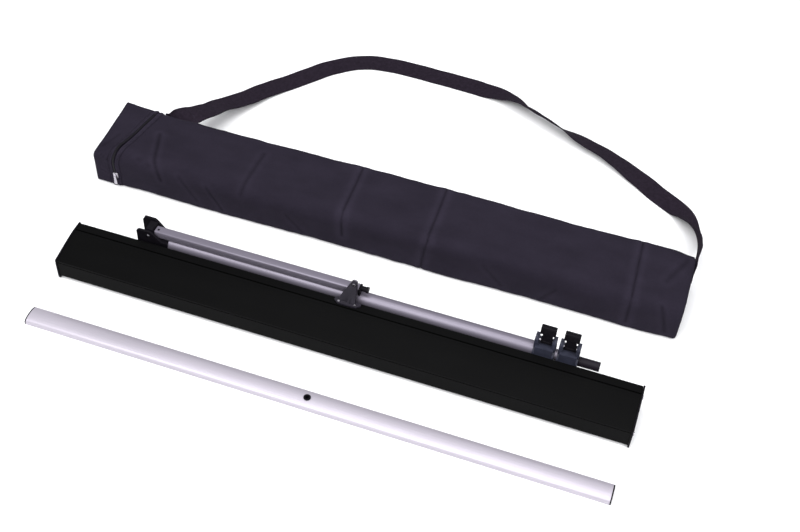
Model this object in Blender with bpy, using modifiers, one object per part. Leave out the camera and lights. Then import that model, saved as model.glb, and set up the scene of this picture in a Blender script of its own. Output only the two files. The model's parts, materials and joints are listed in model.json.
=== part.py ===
"""Roll-up banner stand: cassette, folding telescopic pole, top rail and carry bag.

Units are metres, +Z is up and +X runs along the cassette. The origin is on the
floor, at the centre of the pad under the middle of the cassette.
"""
import math

import bmesh
import bpy
from mathutils import Matrix, Vector

for old in list(bpy.data.objects):
    bpy.data.objects.remove(old, do_unlink=True)

# ---------------------------------------------------------------- clearances
GAP = 0.0003            # between pieces that touch, and round pins in their bores

# ---------------------------------------------------------------- cassette
CASSETTE_LENGTH = 0.850
CASSETTE_DEPTH = 0.073
REAR_HEIGHT = 0.0463
SEAM_HEIGHT = 0.0330    # top of the front wall of the tray
SEAM_GROOVE = 0.0015
TRAY_HEIGHT = 0.0055    # underside of the tray above the floor
TRAY_REAR_WALL = 0.0090
WALL = 0.0018
SLOT_WIDTH = 0.0024     # the banner comes out here
FLANGE_DEPTH = 0.0135   # flat top behind the slot, which carries the bracket
SLOT_LIP = 0.0060
TOP_CURVE = 1.25
SKIRT_HEIGHT = 0.0025   # upright front edge of the cover, above the groove
LIP_RISE = 0.0014       # the tray's lip that backs the groove
CAP_THICKNESS = 0.0024
CAP_RIM = 0.0012
CAP_NOTCH = 0.0012
PAD_RADIUS = 0.0110

# ---------------------------------------------------------------- roller
ROLLER_Y = 0.0020
ROLLER_Z = 0.0235
ROLLER_RADIUS = 0.0110
ROLLER_WALL = 0.0012
LEADER_THICKNESS = 0.0014
ROLLER_END_ROOM = 0.0115
HUB_RADIUS = 0.0078
HUB_LENGTH = 0.0090
BUSH_WALL = 0.0016
IDLE_PIN_RADIUS = 0.0040
PLUG_LENGTH = 0.0180
ARBOR_RADIUS = 0.0030
ARBOR_LENGTH = 0.1150
SPRING_TURNS = 12
SPRING_WIRE = 0.0009
SPRING_LENGTH = 0.0700

# ---------------------------------------------------------------- swing-out feet
FOOT_X = 0.3000
FOOT_LONG_ARM = 0.1450
FOOT_SHORT_ARM = 0.0880
FOOT_WIDTH = 0.0200
FOOT_THICKNESS = 0.0032
FOOT_PAD = 0.0010
FOOT_RIVET = 0.0035

# ---------------------------------------------------------------- pole
POLE_Y = 0.0515         # plane in which the pole folds, behind the cassette
TUBE_Z = 0.0395
TUBE_RADIUS = 0.0095
MID_RADIUS = 0.0082
TIP_RADIUS = 0.0069
TUBE_WALL = 0.0010
LINK_WIDTH = 0.0135
LINK_HEIGHT = 0.0125
LINK_WALL = 0.0014
LINK_GAP = 0.0012
LINK_LEFT = -0.3050
LINK_RIGHT = 0.0100
PIVOT_X = 0.0062
PIVOT_Z = 0.0800
PIVOT_RADIUS = 0.0026
KNEE_X = -0.3125
KNEE_RISE = 0.0010      # knee pin above the link's centre line
KNEE_PIN_RADIUS = 0.0022
EAR_THICKNESS = 0.0035
EAR_INSIDE = 0.0090     # half the width between the clevis ears
CLEVIS_TOP = 0.0690
TUBE_LEFT = -0.2840
TUBE_END = 0.2900
MID_LEFT = -0.2350
MID_END = 0.3270
TIP_LEFT = -0.2050
TIP_END = 0.3600
SPIGOT_LENGTH = 0.0220

# ---------------------------------------------------------------- flip locks
LOCK_LENGTH = 0.0350
LOCK_RADIUS = 0.0125
LOCK_RIM = 0.0032
LOCK_RIM_RADIUS = 0.0138
LOCK_EAR_TOP = 0.0270
LOCK_PIN_RISE = 0.0225
LOCK_PIN_RADIUS = 0.0016
LEVER_TOP = 0.0520
LEVER_HEAD = 0.0235
LEVER_NECK = 0.0155
LEVER_THICKNESS = 0.0062
LOCK_1_X = 0.2605
LOCK_2_X = 0.2990

# ---------------------------------------------------------------- bracket
PLATE_LENGTH = 0.0390
PLATE_DEPTH = 0.0110
PLATE_THICKNESS = 0.0026
BOSS_RADIUS = 0.0050
TOWER_FOOT_LEFT = -0.0150
TOWER_FOOT_RIGHT = 0.0110
CHEEK_THICKNESS = 0.0042
LUG_THICKNESS = 0.0022
LUG_LENGTH = 0.0130

# ---------------------------------------------------------------- top rail
RAIL_LENGTH = 0.8455
RAIL_X = -0.0029
RAIL_REAR_Y = -0.1010
RAIL_DEPTH = 0.0300
RAIL_HEIGHT = 0.0095
RAIL_EDGE = 0.0030
RAIL_CAP = 0.0016
RAIL_WALL = 0.0014
SOCKET_RADIUS = 0.0044
SOCKET_RIM = 0.0008

# ---------------------------------------------------------------- carry bag
BAG_LEFT = -0.4725
BAG_RIGHT = 0.4520
BAG_FRONT = 0.1670
BAG_DEPTH = 0.1190
BAG_HEIGHT = 0.0700
BAG_RADIUS = 0.0180
BAG_WALL = 0.0030
END_ROUNDING = 0.0060
BAG_MOUTH_X = -0.4135    # where the zip crosses the rear edge
MOUTH_SLANT = 0.0245     # the zip runs this much further left by the front
BAG_LIFT = 0.0003
ZIP_WIDTH = 0.0080
ZIP_THICKNESS = 0.0010
ZIP_LOW = 0.0200
ZIP_INSET = 0.0010
SLIDER_SIZE = (0.0070, 0.0030, 0.0100)
PULL_SIZE = (0.0050, 0.0012, 0.0160)
STRAP_WIDTH = 0.0380
STRAP_THICKNESS = 0.0020
STRAP_FROM_LEFT = [      # along from the bag's left end, behind its rear, height, tilt in degrees
    (0.0680, 0.0013, 0.045, 90), (0.0755, 0.0016, 0.045, 90), (0.0815, 0.0130, 0.044, 80),
    (0.0880, 0.0320, 0.042, 52), (0.0995, 0.0540, 0.037, 22), (0.1125, 0.0810, 0.029, 8),
    (0.1285, 0.1130, 0.019, 2), (0.1445, 0.1480, 0.010, 0), (0.1635, 0.1850, 0.004, 0),
    (0.2055, 0.2400, 0.0, 0), (0.2425, 0.2850, 0.0, 0), (0.2865, 0.3180, 0.0, 0),
    (0.3445, 0.3310, 0.0, 0), (0.4285, 0.3300, 0.0, 0), (0.5105, 0.3260, 0.0, 0)]
STRAP_TO_RIGHT = [       # the same, but back from the bag's right end
    (0.3670, 0.3160, 0.0, 16), (0.3270, 0.2910, 0.0, 46), (0.2940, 0.2770, 0.0, 48),
    (0.2630, 0.2620, 0.0, 45), (0.2265, 0.2530, 0.0, 24), (0.1655, 0.2285, 0.0, 16),
    (0.1160, 0.2010, 0.0, 4), (0.0740, 0.1730, 0.0, 0), (0.0360, 0.1480, 0.0, 5),
    (0.0165, 0.1160, 0.011, 35), (0.0045, 0.0860, 0.019, 68), (-0.0010, 0.0580, 0.028, 88),
    (-0.0030, 0.0300, 0.038, 90), (-0.0022, 0.0100, 0.045, 90), (-0.0013, -0.0050, 0.047, 90),
    (-0.0013, -0.0240, 0.047, 90)]

# ---------------------------------------------------------------- worked-out places
HALF_DEPTH = CASSETTE_DEPTH / 2
HALF_LENGTH = CASSETTE_LENGTH / 2
SECTION_END = HALF_LENGTH - CAP_THICKNESS - GAP
SLOT_REAR_Y = HALF_DEPTH - FLANGE_DEPTH
SLOT_FRONT_Y = SLOT_REAR_Y - SLOT_WIDTH
ROLLER_END = HALF_LENGTH - ROLLER_END_ROOM
LINK_Z = TUBE_Z + TUBE_RADIUS + LINK_GAP + LINK_HEIGHT / 2
LINK_BOTTOM = LINK_Z - LINK_HEIGHT / 2
LINK_TOP = LINK_Z + LINK_HEIGHT / 2
LINK_FACE_Y = POLE_Y - LINK_WIDTH / 2
KNEE_Z = LINK_Z + KNEE_RISE
PLATE_Z = REAR_HEIGHT + GAP
FOOT_Z = FOOT_PAD + GAP
BAG_REAR = BAG_FRONT + BAG_DEPTH

WHITE = (0.80, 0.80, 0.80)
COLLECTION = bpy.data.collections.new("roll_up_banner_stand")
bpy.context.scene.collection.children.link(COLLECTION)
CUTTERS = bpy.data.collections.new("cutters")
bpy.context.scene.collection.children.link(CUTTERS)


# ---------------------------------------------------------------- helpers
def material(name, colour, roughness, metallic=0.0):
    """A Principled material, made once for each name."""
    made = bpy.data.materials.get(name)
    if made is None:
        made = bpy.data.materials.new(name)
        made.use_nodes = True
        shader = made.node_tree.nodes["Principled BSDF"]
        shader.inputs["Base Color"].default_value = (*colour, 1.0)
        shader.inputs["Roughness"].default_value = roughness
        shader.inputs["Metallic"].default_value = metallic
    return made


BLACK_METAL = material("black_powder_coat", (0.010, 0.010, 0.010), 0.45)
BLACK_PLASTIC = material("black_plastic", (0.020, 0.019, 0.022), 0.50)
LOCK_PLASTIC = material("lock_plastic", (0.045, 0.052, 0.075), 0.40)
SILVER = material("anodised_aluminium", (0.72, 0.71, 0.76), 0.30, 1.0)
STEEL = material("bright_steel", (0.75, 0.75, 0.76), 0.25, 1.0)
DARK_TUBE = material("dark_tube", (0.055, 0.048, 0.058), 0.40)
RUBBER = material("rubber", (0.018, 0.018, 0.018), 0.80)
FILM = material("leader_film", WHITE, 0.55)
FABRIC = material("bag_fabric", (0.030, 0.025, 0.038), 0.90)


def add_object(name, mesh, finish, collection=COLLECTION):
    """Link a new mesh object with its material."""
    made = bpy.data.objects.new(name, mesh)
    collection.objects.link(made)
    if finish is not None:
        mesh.materials.append(finish)
    return made


def mesh_from(name, bm, smooth=False):
    """Finish a bmesh as a mesh, with its faces turned outward."""
    bmesh.ops.recalc_face_normals(bm, faces=bm.faces[:])
    mesh = bpy.data.meshes.new(name)
    bm.to_mesh(mesh)
    bm.free()
    if smooth:
        mesh.shade_smooth()
        mesh.set_sharp_from_angle(angle=math.radians(35))
    return mesh


def box(name, low, high, finish, bevel=0.0, collection=COLLECTION):
    """A box from its low corner to its high one, with an optional small bevel."""
    bm = bmesh.new()
    low = Vector(low)
    high = Vector(high)
    bmesh.ops.create_cube(bm, size=1.0)
    bmesh.ops.scale(bm, vec=high - low, verts=bm.verts)
    bmesh.ops.translate(bm, vec=(high + low) / 2, verts=bm.verts)
    made = add_object(name, mesh_from(name, bm), finish, collection)
    if bevel > 0.0:
        edge = made.modifiers.new("Bevel", "BEVEL")
        edge.width = bevel
        edge.segments = 2
    return made


AXIS_TURNS = {"X": Matrix.Rotation(math.pi / 2, 4, "Y"), "Y": Matrix.Rotation(-math.pi / 2, 4, "X"),
              "Z": Matrix.Identity(4)}


def cylinder(name, centre, axis, radius, length, finish, sides=24, collection=COLLECTION):
    """A cylinder along one world axis, given by its middle."""
    bm = bmesh.new()
    bmesh.ops.create_cone(bm, cap_ends=True, segments=sides, radius1=radius, radius2=radius,
                          depth=length, matrix=Matrix.Translation(centre) @ AXIS_TURNS[axis])
    return add_object(name, mesh_from(name, bm, smooth=True), finish, collection)


def rod_x(name, x0, x1, y, z, radius, finish, sides=24, collection=COLLECTION):
    """A cylinder along X from x0 to x1."""
    return cylinder(name, ((x0 + x1) / 2, y, z), "X", radius, x1 - x0, finish, sides, collection)


def tube_x(name, x0, x1, y, z, outer, inner, finish, sides=28):
    """A tube along X: a turned wall profile."""
    profile = [(outer, x1 - x0), (outer, 0.0), (inner, 0.0), (inner, x1 - x0)]
    mesh = bpy.data.meshes.new(name)
    mesh.from_pydata([(r, 0.0, h) for r, h in profile], [(0, 1), (1, 2), (2, 3), (3, 0)], [])
    made = add_object(name, mesh, finish)
    turn = made.modifiers.new("Screw", "SCREW")
    turn.steps = sides
    turn.render_steps = sides
    turn.use_merge_vertices = True
    turn.merge_threshold = 0.00005
    made.rotation_euler = (0.0, math.pi / 2, 0.0)
    made.location = (x0, y, z)
    return made


def prism(name, outline, axis, low, high, finish, collection=COLLECTION):
    """A flat outline pushed along one world axis.

    The outline holds (y, z) for X, (x, z) for Y and (x, y) for Z.
    """
    spots = {"X": lambda a, b: (low, a, b), "Y": lambda a, b: (a, low, b), "Z": lambda a, b: (a, b, low)}
    push = {"X": (high - low, 0, 0), "Y": (0, high - low, 0), "Z": (0, 0, high - low)}
    bm = bmesh.new()
    face = bm.faces.new([bm.verts.new(spots[axis](a, b)) for a, b in outline])
    pushed = bmesh.ops.extrude_face_region(bm, geom=[face])["geom"]
    bmesh.ops.translate(bm, vec=push[axis], verts=[v for v in pushed if isinstance(v, bmesh.types.BMVert)])
    return add_object(name, mesh_from(name, bm), finish, collection)


def hull(name, points, finish, collection=COLLECTION):
    """The convex solid round a set of points, for lofts between unlike sections."""
    bm = bmesh.new()
    for point in points:
        bm.verts.new(point)
    made = bmesh.ops.convex_hull(bm, input=bm.verts[:])
    loose = [v for v in made["geom_interior"] if isinstance(v, bmesh.types.BMVert)]
    bmesh.ops.delete(bm, geom=loose, context="VERTS")
    bmesh.ops.dissolve_limit(bm, angle_limit=math.radians(1.0), verts=bm.verts[:], edges=bm.edges[:])
    return add_object(name, mesh_from(name, bm), finish, collection)


def combine(piece, other, operation):
    """Join a helper to a piece, or cut it out of the piece."""
    step = piece.modifiers.new(operation.title(), "BOOLEAN")
    step.operation = operation
    step.object = other
    step.solver = "EXACT"
    other.hide_render = True
    other.display_type = "WIRE"
    return piece


def bore(piece, centre, axis, radius, length, sides=20):
    """Cut a round hole through a piece."""
    cutter = cylinder(piece.name + "_bore", centre, axis, radius, length, None, sides, CUTTERS)
    return combine(piece, cutter, "DIFFERENCE")


def arc(centre, radius, start, end, steps):
    """Points on an arc, with its angles in degrees."""
    angles = [math.radians(start + (end - start) * i / steps) for i in range(steps + 1)]
    return [(centre[0] + radius * math.cos(a), centre[1] + radius * math.sin(a)) for a in angles]


def ribbon_outline(path, wall):
    """A closed outline of constant wall on the right-hand side of an open path."""
    inner = []
    for i, (a, b) in enumerate(path):
        before = path[max(i - 1, 0)]
        after = path[min(i + 1, len(path) - 1)]
        u = Vector((a - before[0], b - before[1]))
        v = Vector((after[0] - a, after[1] - b))
        u = u.normalized() if u.length > 0 else v.normalized()
        v = v.normalized() if v.length > 0 else u
        normal = Vector((u.y + v.y, -u.x - v.x)).normalized()
        reach = wall / max(normal.dot(Vector((v.y, -v.x))), 0.35)
        inner.append((a + normal.x * reach, b + normal.y * reach))
    return list(path) + inner[::-1]


def pivot(name, place):
    """An empty on a joint's axis, which carries the pieces that move with it."""
    made = bpy.data.objects.new(name, None)
    made.location = place
    made.empty_display_size = 0.02
    COLLECTION.objects.link(made)
    return made


def carry(empty, *pieces):
    """Parent pieces to a pivot without moving them."""
    bpy.context.view_layer.update()
    for piece in pieces:
        piece.parent = empty
        piece.matrix_parent_inverse = empty.matrix_world.inverted()


# ---------------------------------------------------------------- cassette
def top_height(y):
    """Height of the cassette's curved top at one depth."""
    share = (y + HALF_DEPTH) / (SLOT_FRONT_Y + HALF_DEPTH)
    start = SEAM_HEIGHT + SEAM_GROOVE + SKIRT_HEIGHT
    return start + (REAR_HEIGHT - start) * (1.0 - (1.0 - min(share, 1.0)) ** TOP_CURVE)


def top_curve(steps=14):
    """(y, z) points along the curved top, closer together at the front."""
    reach = SLOT_FRONT_Y + HALF_DEPTH
    spots = [-HALF_DEPTH + reach * (i / steps) ** 1.6 for i in range(steps + 1)]
    return [(y, top_height(y)) for y in spots]


def make_extrusions():
    """The tray, the curved cover and the rear section that make the casing."""
    front = -HALF_DEPTH
    step = WALL + GAP * 2
    tray_path = [(front + step, SEAM_HEIGHT + LIP_RISE), (front + step, SEAM_HEIGHT), (front, SEAM_HEIGHT),
                 (front, TRAY_HEIGHT + 0.0012), (front + 0.0012, TRAY_HEIGHT),
                 (HALF_DEPTH, TRAY_HEIGHT), (HALF_DEPTH, TRAY_HEIGHT + TRAY_REAR_WALL)]
    prism("base_tray", ribbon_outline(tray_path[::-1], WALL), "X", -SECTION_END, SECTION_END, BLACK_METAL)

    cover_path = [(front, SEAM_HEIGHT + SEAM_GROOVE)] + top_curve() + [(SLOT_FRONT_Y, REAR_HEIGHT - SLOT_LIP)]
    prism("top_cover", ribbon_outline(cover_path, WALL), "X", -SECTION_END, SECTION_END, BLACK_METAL)

    rear_path = [(SLOT_REAR_Y, REAR_HEIGHT - SLOT_LIP), (SLOT_REAR_Y, REAR_HEIGHT),
                 (HALF_DEPTH - 0.0010, REAR_HEIGHT), (HALF_DEPTH, REAR_HEIGHT - 0.0010),
                 (HALF_DEPTH, TRAY_HEIGHT + TRAY_REAR_WALL + GAP)]
    prism("rear_section", ribbon_outline(rear_path, WALL), "X", -SECTION_END, SECTION_END, BLACK_METAL)


def cap_outline():
    """Outline of an end cap, proud of the casing all round and down to the floor."""
    front = -HALF_DEPTH - CAP_RIM
    rear = HALF_DEPTH + CAP_RIM
    curve = [(y - CAP_RIM, z + CAP_RIM) for y, z in top_curve()]
    notch = [(front, SEAM_HEIGHT - CAP_NOTCH), (front + CAP_NOTCH, SEAM_HEIGHT),
             (front, SEAM_HEIGHT + CAP_NOTCH)]
    foot = [(front, TRAY_HEIGHT / 2), (front + 0.003, 0.0), (rear - 0.003, 0.0), (rear, TRAY_HEIGHT / 2)]
    top = [(rear - 0.0015, REAR_HEIGHT + CAP_RIM), (rear, REAR_HEIGHT + CAP_RIM - 0.0015)]
    return notch + curve[1:] + top + foot[::-1]


def make_end_cap(name, side):
    """One end cap, with the hub that carries an end of the roller."""
    inside = side * (HALF_LENGTH - CAP_THICKNESS)
    low = min(inside, side * HALF_LENGTH)
    cap = prism(name, cap_outline(), "X", low, low + CAP_THICKNESS, BLACK_PLASTIC)
    tip = inside - side * HUB_LENGTH
    hub = rod_x(name + "_hub", min(tip, inside + side * 0.001), max(tip, inside + side * 0.001),
                ROLLER_Y, ROLLER_Z, HUB_RADIUS, None, 24, CUTTERS)
    combine(cap, hub, "UNION")
    if side < 0:
        inner = IDLE_PIN_RADIUS + GAP + BUSH_WALL + GAP
    else:
        inner = ARBOR_RADIUS + GAP
    depth = HUB_LENGTH - GAP
    bore(cap, (tip + side * (depth / 2 - 0.001), ROLLER_Y, ROLLER_Z), "X", inner, depth + 0.002)
    return cap


def make_cap_screws():
    """Two button-head screws in the outside of each end cap."""
    spots = {"front": (-0.026, 0.020), "rear": (0.027, 0.033)}
    for side, word in ((-1, "left"), (1, "right")):
        for place, (y, z) in spots.items():
            face = side * (HALF_LENGTH + GAP)
            far = face + side * 0.0014
            rod_x(f"cap_screw_{word}_{place}", min(face, far), max(face, far), y, z, 0.0030, STEEL, 14)


def make_roller():
    """The sprung roller with its end plugs, leader film, arbor, bush and spring."""
    left = -ROLLER_END
    right = ROLLER_END
    inner = ROLLER_RADIUS - ROLLER_WALL
    tube = tube_x("roller_tube", left, right, ROLLER_Y, ROLLER_Z, ROLLER_RADIUS, inner, SILVER, 24)
    film = tube_x("leader_film_roll", left + 0.012, right - 0.012, ROLLER_Y, ROLLER_Z,
                  ROLLER_RADIUS + GAP + LEADER_THICKNESS, ROLLER_RADIUS + GAP, FILM, 24)

    plug = rod_x("roller_plug_left", left, left + PLUG_LENGTH, ROLLER_Y, ROLLER_Z, inner - GAP,
                 BLACK_PLASTIC, 20)
    stub_end = -HALF_LENGTH + CAP_THICKNESS + GAP * 2
    stub = rod_x("idle_stub", stub_end, left + 0.004, ROLLER_Y, ROLLER_Z, IDLE_PIN_RADIUS, None, 16, CUTTERS)
    combine(plug, stub, "UNION")

    tube_x("idle_bush", -HALF_LENGTH + CAP_THICKNESS + GAP, -HALF_LENGTH + CAP_THICKNESS + HUB_LENGTH,
           ROLLER_Y, ROLLER_Z, IDLE_PIN_RADIUS + GAP + BUSH_WALL, IDLE_PIN_RADIUS + GAP, FILM, 16)

    drive = tube_x("roller_plug_right", right - PLUG_LENGTH, right, ROLLER_Y, ROLLER_Z, inner - GAP,
                   ARBOR_RADIUS + GAP, BLACK_PLASTIC, 20)
    arbor_end = HALF_LENGTH - CAP_THICKNESS - GAP
    rod_x("spring_arbor", arbor_end - ARBOR_LENGTH, arbor_end, ROLLER_Y, ROLLER_Z, ARBOR_RADIUS, STEEL, 16)
    make_spring(right - PLUG_LENGTH - GAP * 3 - SPRING_LENGTH, ARBOR_RADIUS + GAP + SPRING_WIRE)

    spin = pivot("roller_axis", (0.0, ROLLER_Y, ROLLER_Z))
    carry(spin, tube, film, plug, drive)


def make_spring(x0, radius):
    """The torsion spring wound round the arbor."""
    points_each = 10
    curve = bpy.data.curves.new("torsion_spring", "CURVE")
    curve.dimensions = "3D"
    curve.bevel_depth = SPRING_WIRE
    curve.bevel_resolution = 1
    curve.use_fill_caps = True
    line = curve.splines.new("POLY")
    count = SPRING_TURNS * points_each + 1
    line.points.add(count - 1)
    for i in range(count):
        turn = 2 * math.pi * i / points_each
        x = x0 + SPRING_WIRE + (SPRING_LENGTH - 2 * SPRING_WIRE) * i / (count - 1)
        line.points[i].co = (x, ROLLER_Y + radius * math.cos(turn), ROLLER_Z + radius * math.sin(turn), 1.0)
    made = bpy.data.objects.new("torsion_spring", curve)
    COLLECTION.objects.link(made)
    curve.materials.append(STEEL)
    return made


def make_centre_pad():
    """The rubber pad under the middle of the tray."""
    height = TRAY_HEIGHT - GAP
    cylinder("centre_pad", (0.0, 0.0, height / 2), "Z", PAD_RADIUS, height, RUBBER, 28)


def make_foot(word, side):
    """One swing-out foot: a flat bar on a rivet, with a rubber pad at each end."""
    x = side * FOOT_X
    ends = (x - side * FOOT_LONG_ARM, x + side * FOOT_SHORT_ARM)
    half = FOOT_WIDTH / 2
    low, high = min(ends), max(ends)
    outline = arc((high - half, 0.0), half, -90, 90, 10) + arc((low + half, 0.0), half, 90, 270, 10)
    bar = prism(f"foot_bar_{word}", outline, "Z", FOOT_Z, FOOT_Z + FOOT_THICKNESS, BLACK_METAL)
    bore(bar, (x, 0.0, FOOT_Z + FOOT_THICKNESS / 2), "Z", FOOT_RIVET + GAP, FOOT_THICKNESS * 3)
    pads = []
    for place, end in (("inner", ends[0] + side * half), ("outer", ends[1] - side * half)):
        pads.append(cylinder(f"foot_pad_{word}_{place}", (end, 0.0, FOOT_PAD / 2), "Z", half * 0.8,
                             FOOT_PAD, RUBBER, 20))
    rivet_top = TRAY_HEIGHT - GAP
    rivet_low = FOOT_Z - GAP * 2
    cylinder(f"foot_rivet_{word}", (x, 0.0, (rivet_top + rivet_low) / 2), "Z", FOOT_RIVET,
             rivet_top - rivet_low, STEEL, 18)
    carry(pivot(f"foot_axis_{word}", (x, 0.0, FOOT_Z)), bar, *pads)


# ---------------------------------------------------------------- pole bracket
def cheek_ys():
    """Near and far face of the bracket's cheek, just in front of the link's lug."""
    far = LINK_FACE_Y - GAP - LUG_THICKNESS - GAP
    return far - CHEEK_THICKNESS, far


def make_bracket():
    """The bracket on the rear top edge: eight-sided plate, leaning tower, rib and boss."""
    half = PLATE_LENGTH / 2
    rear = HALF_DEPTH - 0.0006
    front = rear - PLATE_DEPTH
    cut = PLATE_DEPTH * 0.42
    outline = [(-half, front + cut), (-half + cut * 1.3, front), (half - cut * 1.3, front),
               (half, front + cut), (half, rear - cut * 0.5), (half - cut, rear), (-half + cut, rear),
               (-half, rear - cut * 0.5)]
    bracket = prism("pole_bracket", outline, "Z", PLATE_Z, PLATE_Z + PLATE_THICKNESS, BLACK_PLASTIC)
    near, far = cheek_ys()
    top = PLATE_Z + PLATE_THICKNESS
    foot = [(x, y, top - 0.001) for x in (TOWER_FOOT_LEFT, TOWER_FOOT_RIGHT) for y in (rear - 0.0065, rear)]
    ring = [(x, y, z) for x, z in arc((PIVOT_X, PIVOT_Z), BOSS_RADIUS, 0, 330, 11) for y in (near + 0.0012, far)]
    tower = hull("pole_bracket_tower", foot + ring, None, CUTTERS)
    combine(bracket, tower, "UNION")
    boss = cylinder("pole_bracket_boss", (PIVOT_X, (near + far) / 2, PIVOT_Z), "Y", BOSS_RADIUS,
                    far - near, None, 24, CUTTERS)
    combine(bracket, boss, "UNION")
    rib_x = (TOWER_FOOT_LEFT + TOWER_FOOT_RIGHT) / 2 + 0.003
    rib_foot = [(x, y, top - 0.001) for x in (rib_x - 0.0016, rib_x + 0.0016) for y in (rear - 0.0085, rear - 0.004)]
    rib_head = [(x, y, PIVOT_Z - BOSS_RADIUS - 0.001) for x in (PIVOT_X - 0.002, PIVOT_X + 0.0006)
                for y in (near + 0.0004, far - 0.001)]
    combine(bracket, hull("pole_bracket_rib", rib_foot + rib_head, None, CUTTERS), "UNION")
    bore(bracket, (PIVOT_X, (near + far) / 2, PIVOT_Z), "Y", PIVOT_RADIUS + GAP, 0.03)

    screw_top = top + GAP
    for word, x in (("left", -half + 0.0075), ("right", half - 0.0075)):
        cylinder(f"bracket_screw_{word}", (x, front + 0.0026, screw_top + 0.0006), "Z", 0.0018,
                 0.0012, STEEL, 14)

    pin_length = (LINK_FACE_Y - GAP) - (near - 0.0006)
    cylinder("pole_pivot_pin", (PIVOT_X, near - 0.0006 + pin_length / 2, PIVOT_Z), "Y", PIVOT_RADIUS,
             pin_length, STEEL, 18)
    return bracket


# ---------------------------------------------------------------- link
def rounded_box_outline(y, z, width, height, radius, steps=3):
    """Outline of a rounded rectangle about a centre."""
    w = width / 2 - radius
    h = height / 2 - radius
    points = []
    for cy, cz, start in ((w, h, 0), (-w, h, 90), (-w, -h, 180), (w, -h, 270)):
        points += arc((y + cy, z + cz), radius, start, start + 90, steps)
    return points


def make_link():
    """The short square tube, its pivot lug, its end fitting with a peg and its knuckle."""
    tube = prism("link_tube", rounded_box_outline(POLE_Y, LINK_Z, LINK_WIDTH, LINK_HEIGHT, 0.0022), "X",
                 LINK_LEFT, LINK_RIGHT, SILVER)
    hollow = prism("link_tube_hollow",
                   rounded_box_outline(POLE_Y, LINK_Z, LINK_WIDTH - 2 * LINK_WALL,
                                       LINK_HEIGHT - 2 * LINK_WALL, 0.0010), "X",
                   LINK_LEFT - 0.01, LINK_RIGHT + 0.01, None, CUTTERS)
    combine(tube, hollow, "DIFFERENCE")
    bore(tube, (LINK_LEFT + 0.0045, POLE_Y - 0.0010, LINK_TOP), "Z", 0.0019, 0.006, 14)

    lug_far = LINK_FACE_Y - GAP
    reach = PIVOT_Z - LINK_BOTTOM
    lug_outline = arc((PIVOT_X, PIVOT_Z), BOSS_RADIUS - 0.0006, 0, 180, 10)
    lug_outline += [(PIVOT_X - LUG_LENGTH * 0.75, PIVOT_Z - reach), (PIVOT_X + LUG_LENGTH * 0.25, PIVOT_Z - reach)]
    lug = prism("link_pivot_lug", lug_outline, "Y", lug_far - LUG_THICKNESS, lug_far, STEEL)
    bore(lug, (PIVOT_X, lug_far, PIVOT_Z), "Y", PIVOT_RADIUS + GAP, 0.02)

    fitting = prism("link_end_fitting",
                    rounded_box_outline(POLE_Y, LINK_Z, LINK_WIDTH + 0.0006, LINK_HEIGHT + 0.0006, 0.0022), "X",
                    LINK_RIGHT + GAP, LINK_RIGHT + GAP + 0.0024, BLACK_PLASTIC)
    spigot = prism("link_end_spigot",
                   rounded_box_outline(POLE_Y, LINK_Z, LINK_WIDTH - 2 * LINK_WALL - 2 * GAP,
                                       LINK_HEIGHT - 2 * LINK_WALL - 2 * GAP, 0.0008), "X",
                   LINK_RIGHT - 0.016, LINK_RIGHT + 0.001, None, CUTTERS)
    combine(fitting, spigot, "UNION")
    peg = rod_x("link_end_peg", LINK_RIGHT + 0.001, LINK_RIGHT + 0.0135, POLE_Y, LINK_Z + 0.0035, 0.0040,
                None, 16, CUTTERS)
    combine(fitting, peg, "UNION")
    head = rod_x("link_end_peg_head", LINK_RIGHT + 0.0105, LINK_RIGHT + 0.0140, POLE_Y, LINK_Z + 0.0035,
                 0.0047, None, 16, CUTTERS)
    combine(fitting, head, "UNION")

    knuckle = make_knuckle()
    axis = pivot("pole_raise_axis", (PIVOT_X, POLE_Y, PIVOT_Z))
    carry(axis, tube, lug, fitting, knuckle)
    return axis


def make_knuckle():
    """The link's left end, between the clevis ears, with a crest above the knee pin."""
    half = EAR_INSIDE - GAP
    right = LINK_LEFT - GAP
    outline = [(right, LINK_BOTTOM + 0.0004), (right, LINK_TOP), (right - 0.0012, CLEVIS_TOP - 0.0008),
               (KNEE_X - 0.0042, CLEVIS_TOP - 0.0008), (KNEE_X - 0.0066, LINK_TOP)]
    outline += arc((KNEE_X, KNEE_Z), 0.0068, 165, 265, 8)
    knuckle = prism("link_knuckle", outline, "Y", POLE_Y - half, POLE_Y + half, BLACK_PLASTIC)
    spigot = prism("link_knuckle_spigot",
                   rounded_box_outline(POLE_Y, LINK_Z, LINK_WIDTH - 2 * LINK_WALL - 2 * GAP,
                                       LINK_HEIGHT - 2 * LINK_WALL - 2 * GAP, 0.0008), "X",
                   right - 0.001, LINK_LEFT + 0.0155, None, CUTTERS)
    combine(knuckle, spigot, "UNION")
    bore(knuckle, (KNEE_X, POLE_Y, KNEE_Z), "Y", KNEE_PIN_RADIUS + GAP, 0.04, 16)
    bore_top = cylinder("link_button_hole", (LINK_LEFT + 0.0045, POLE_Y - 0.0010, LINK_TOP), "Z", 0.0019, 0.006,
                        None, 14, CUTTERS)
    return combine(knuckle, bore_top, "DIFFERENCE")


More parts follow.
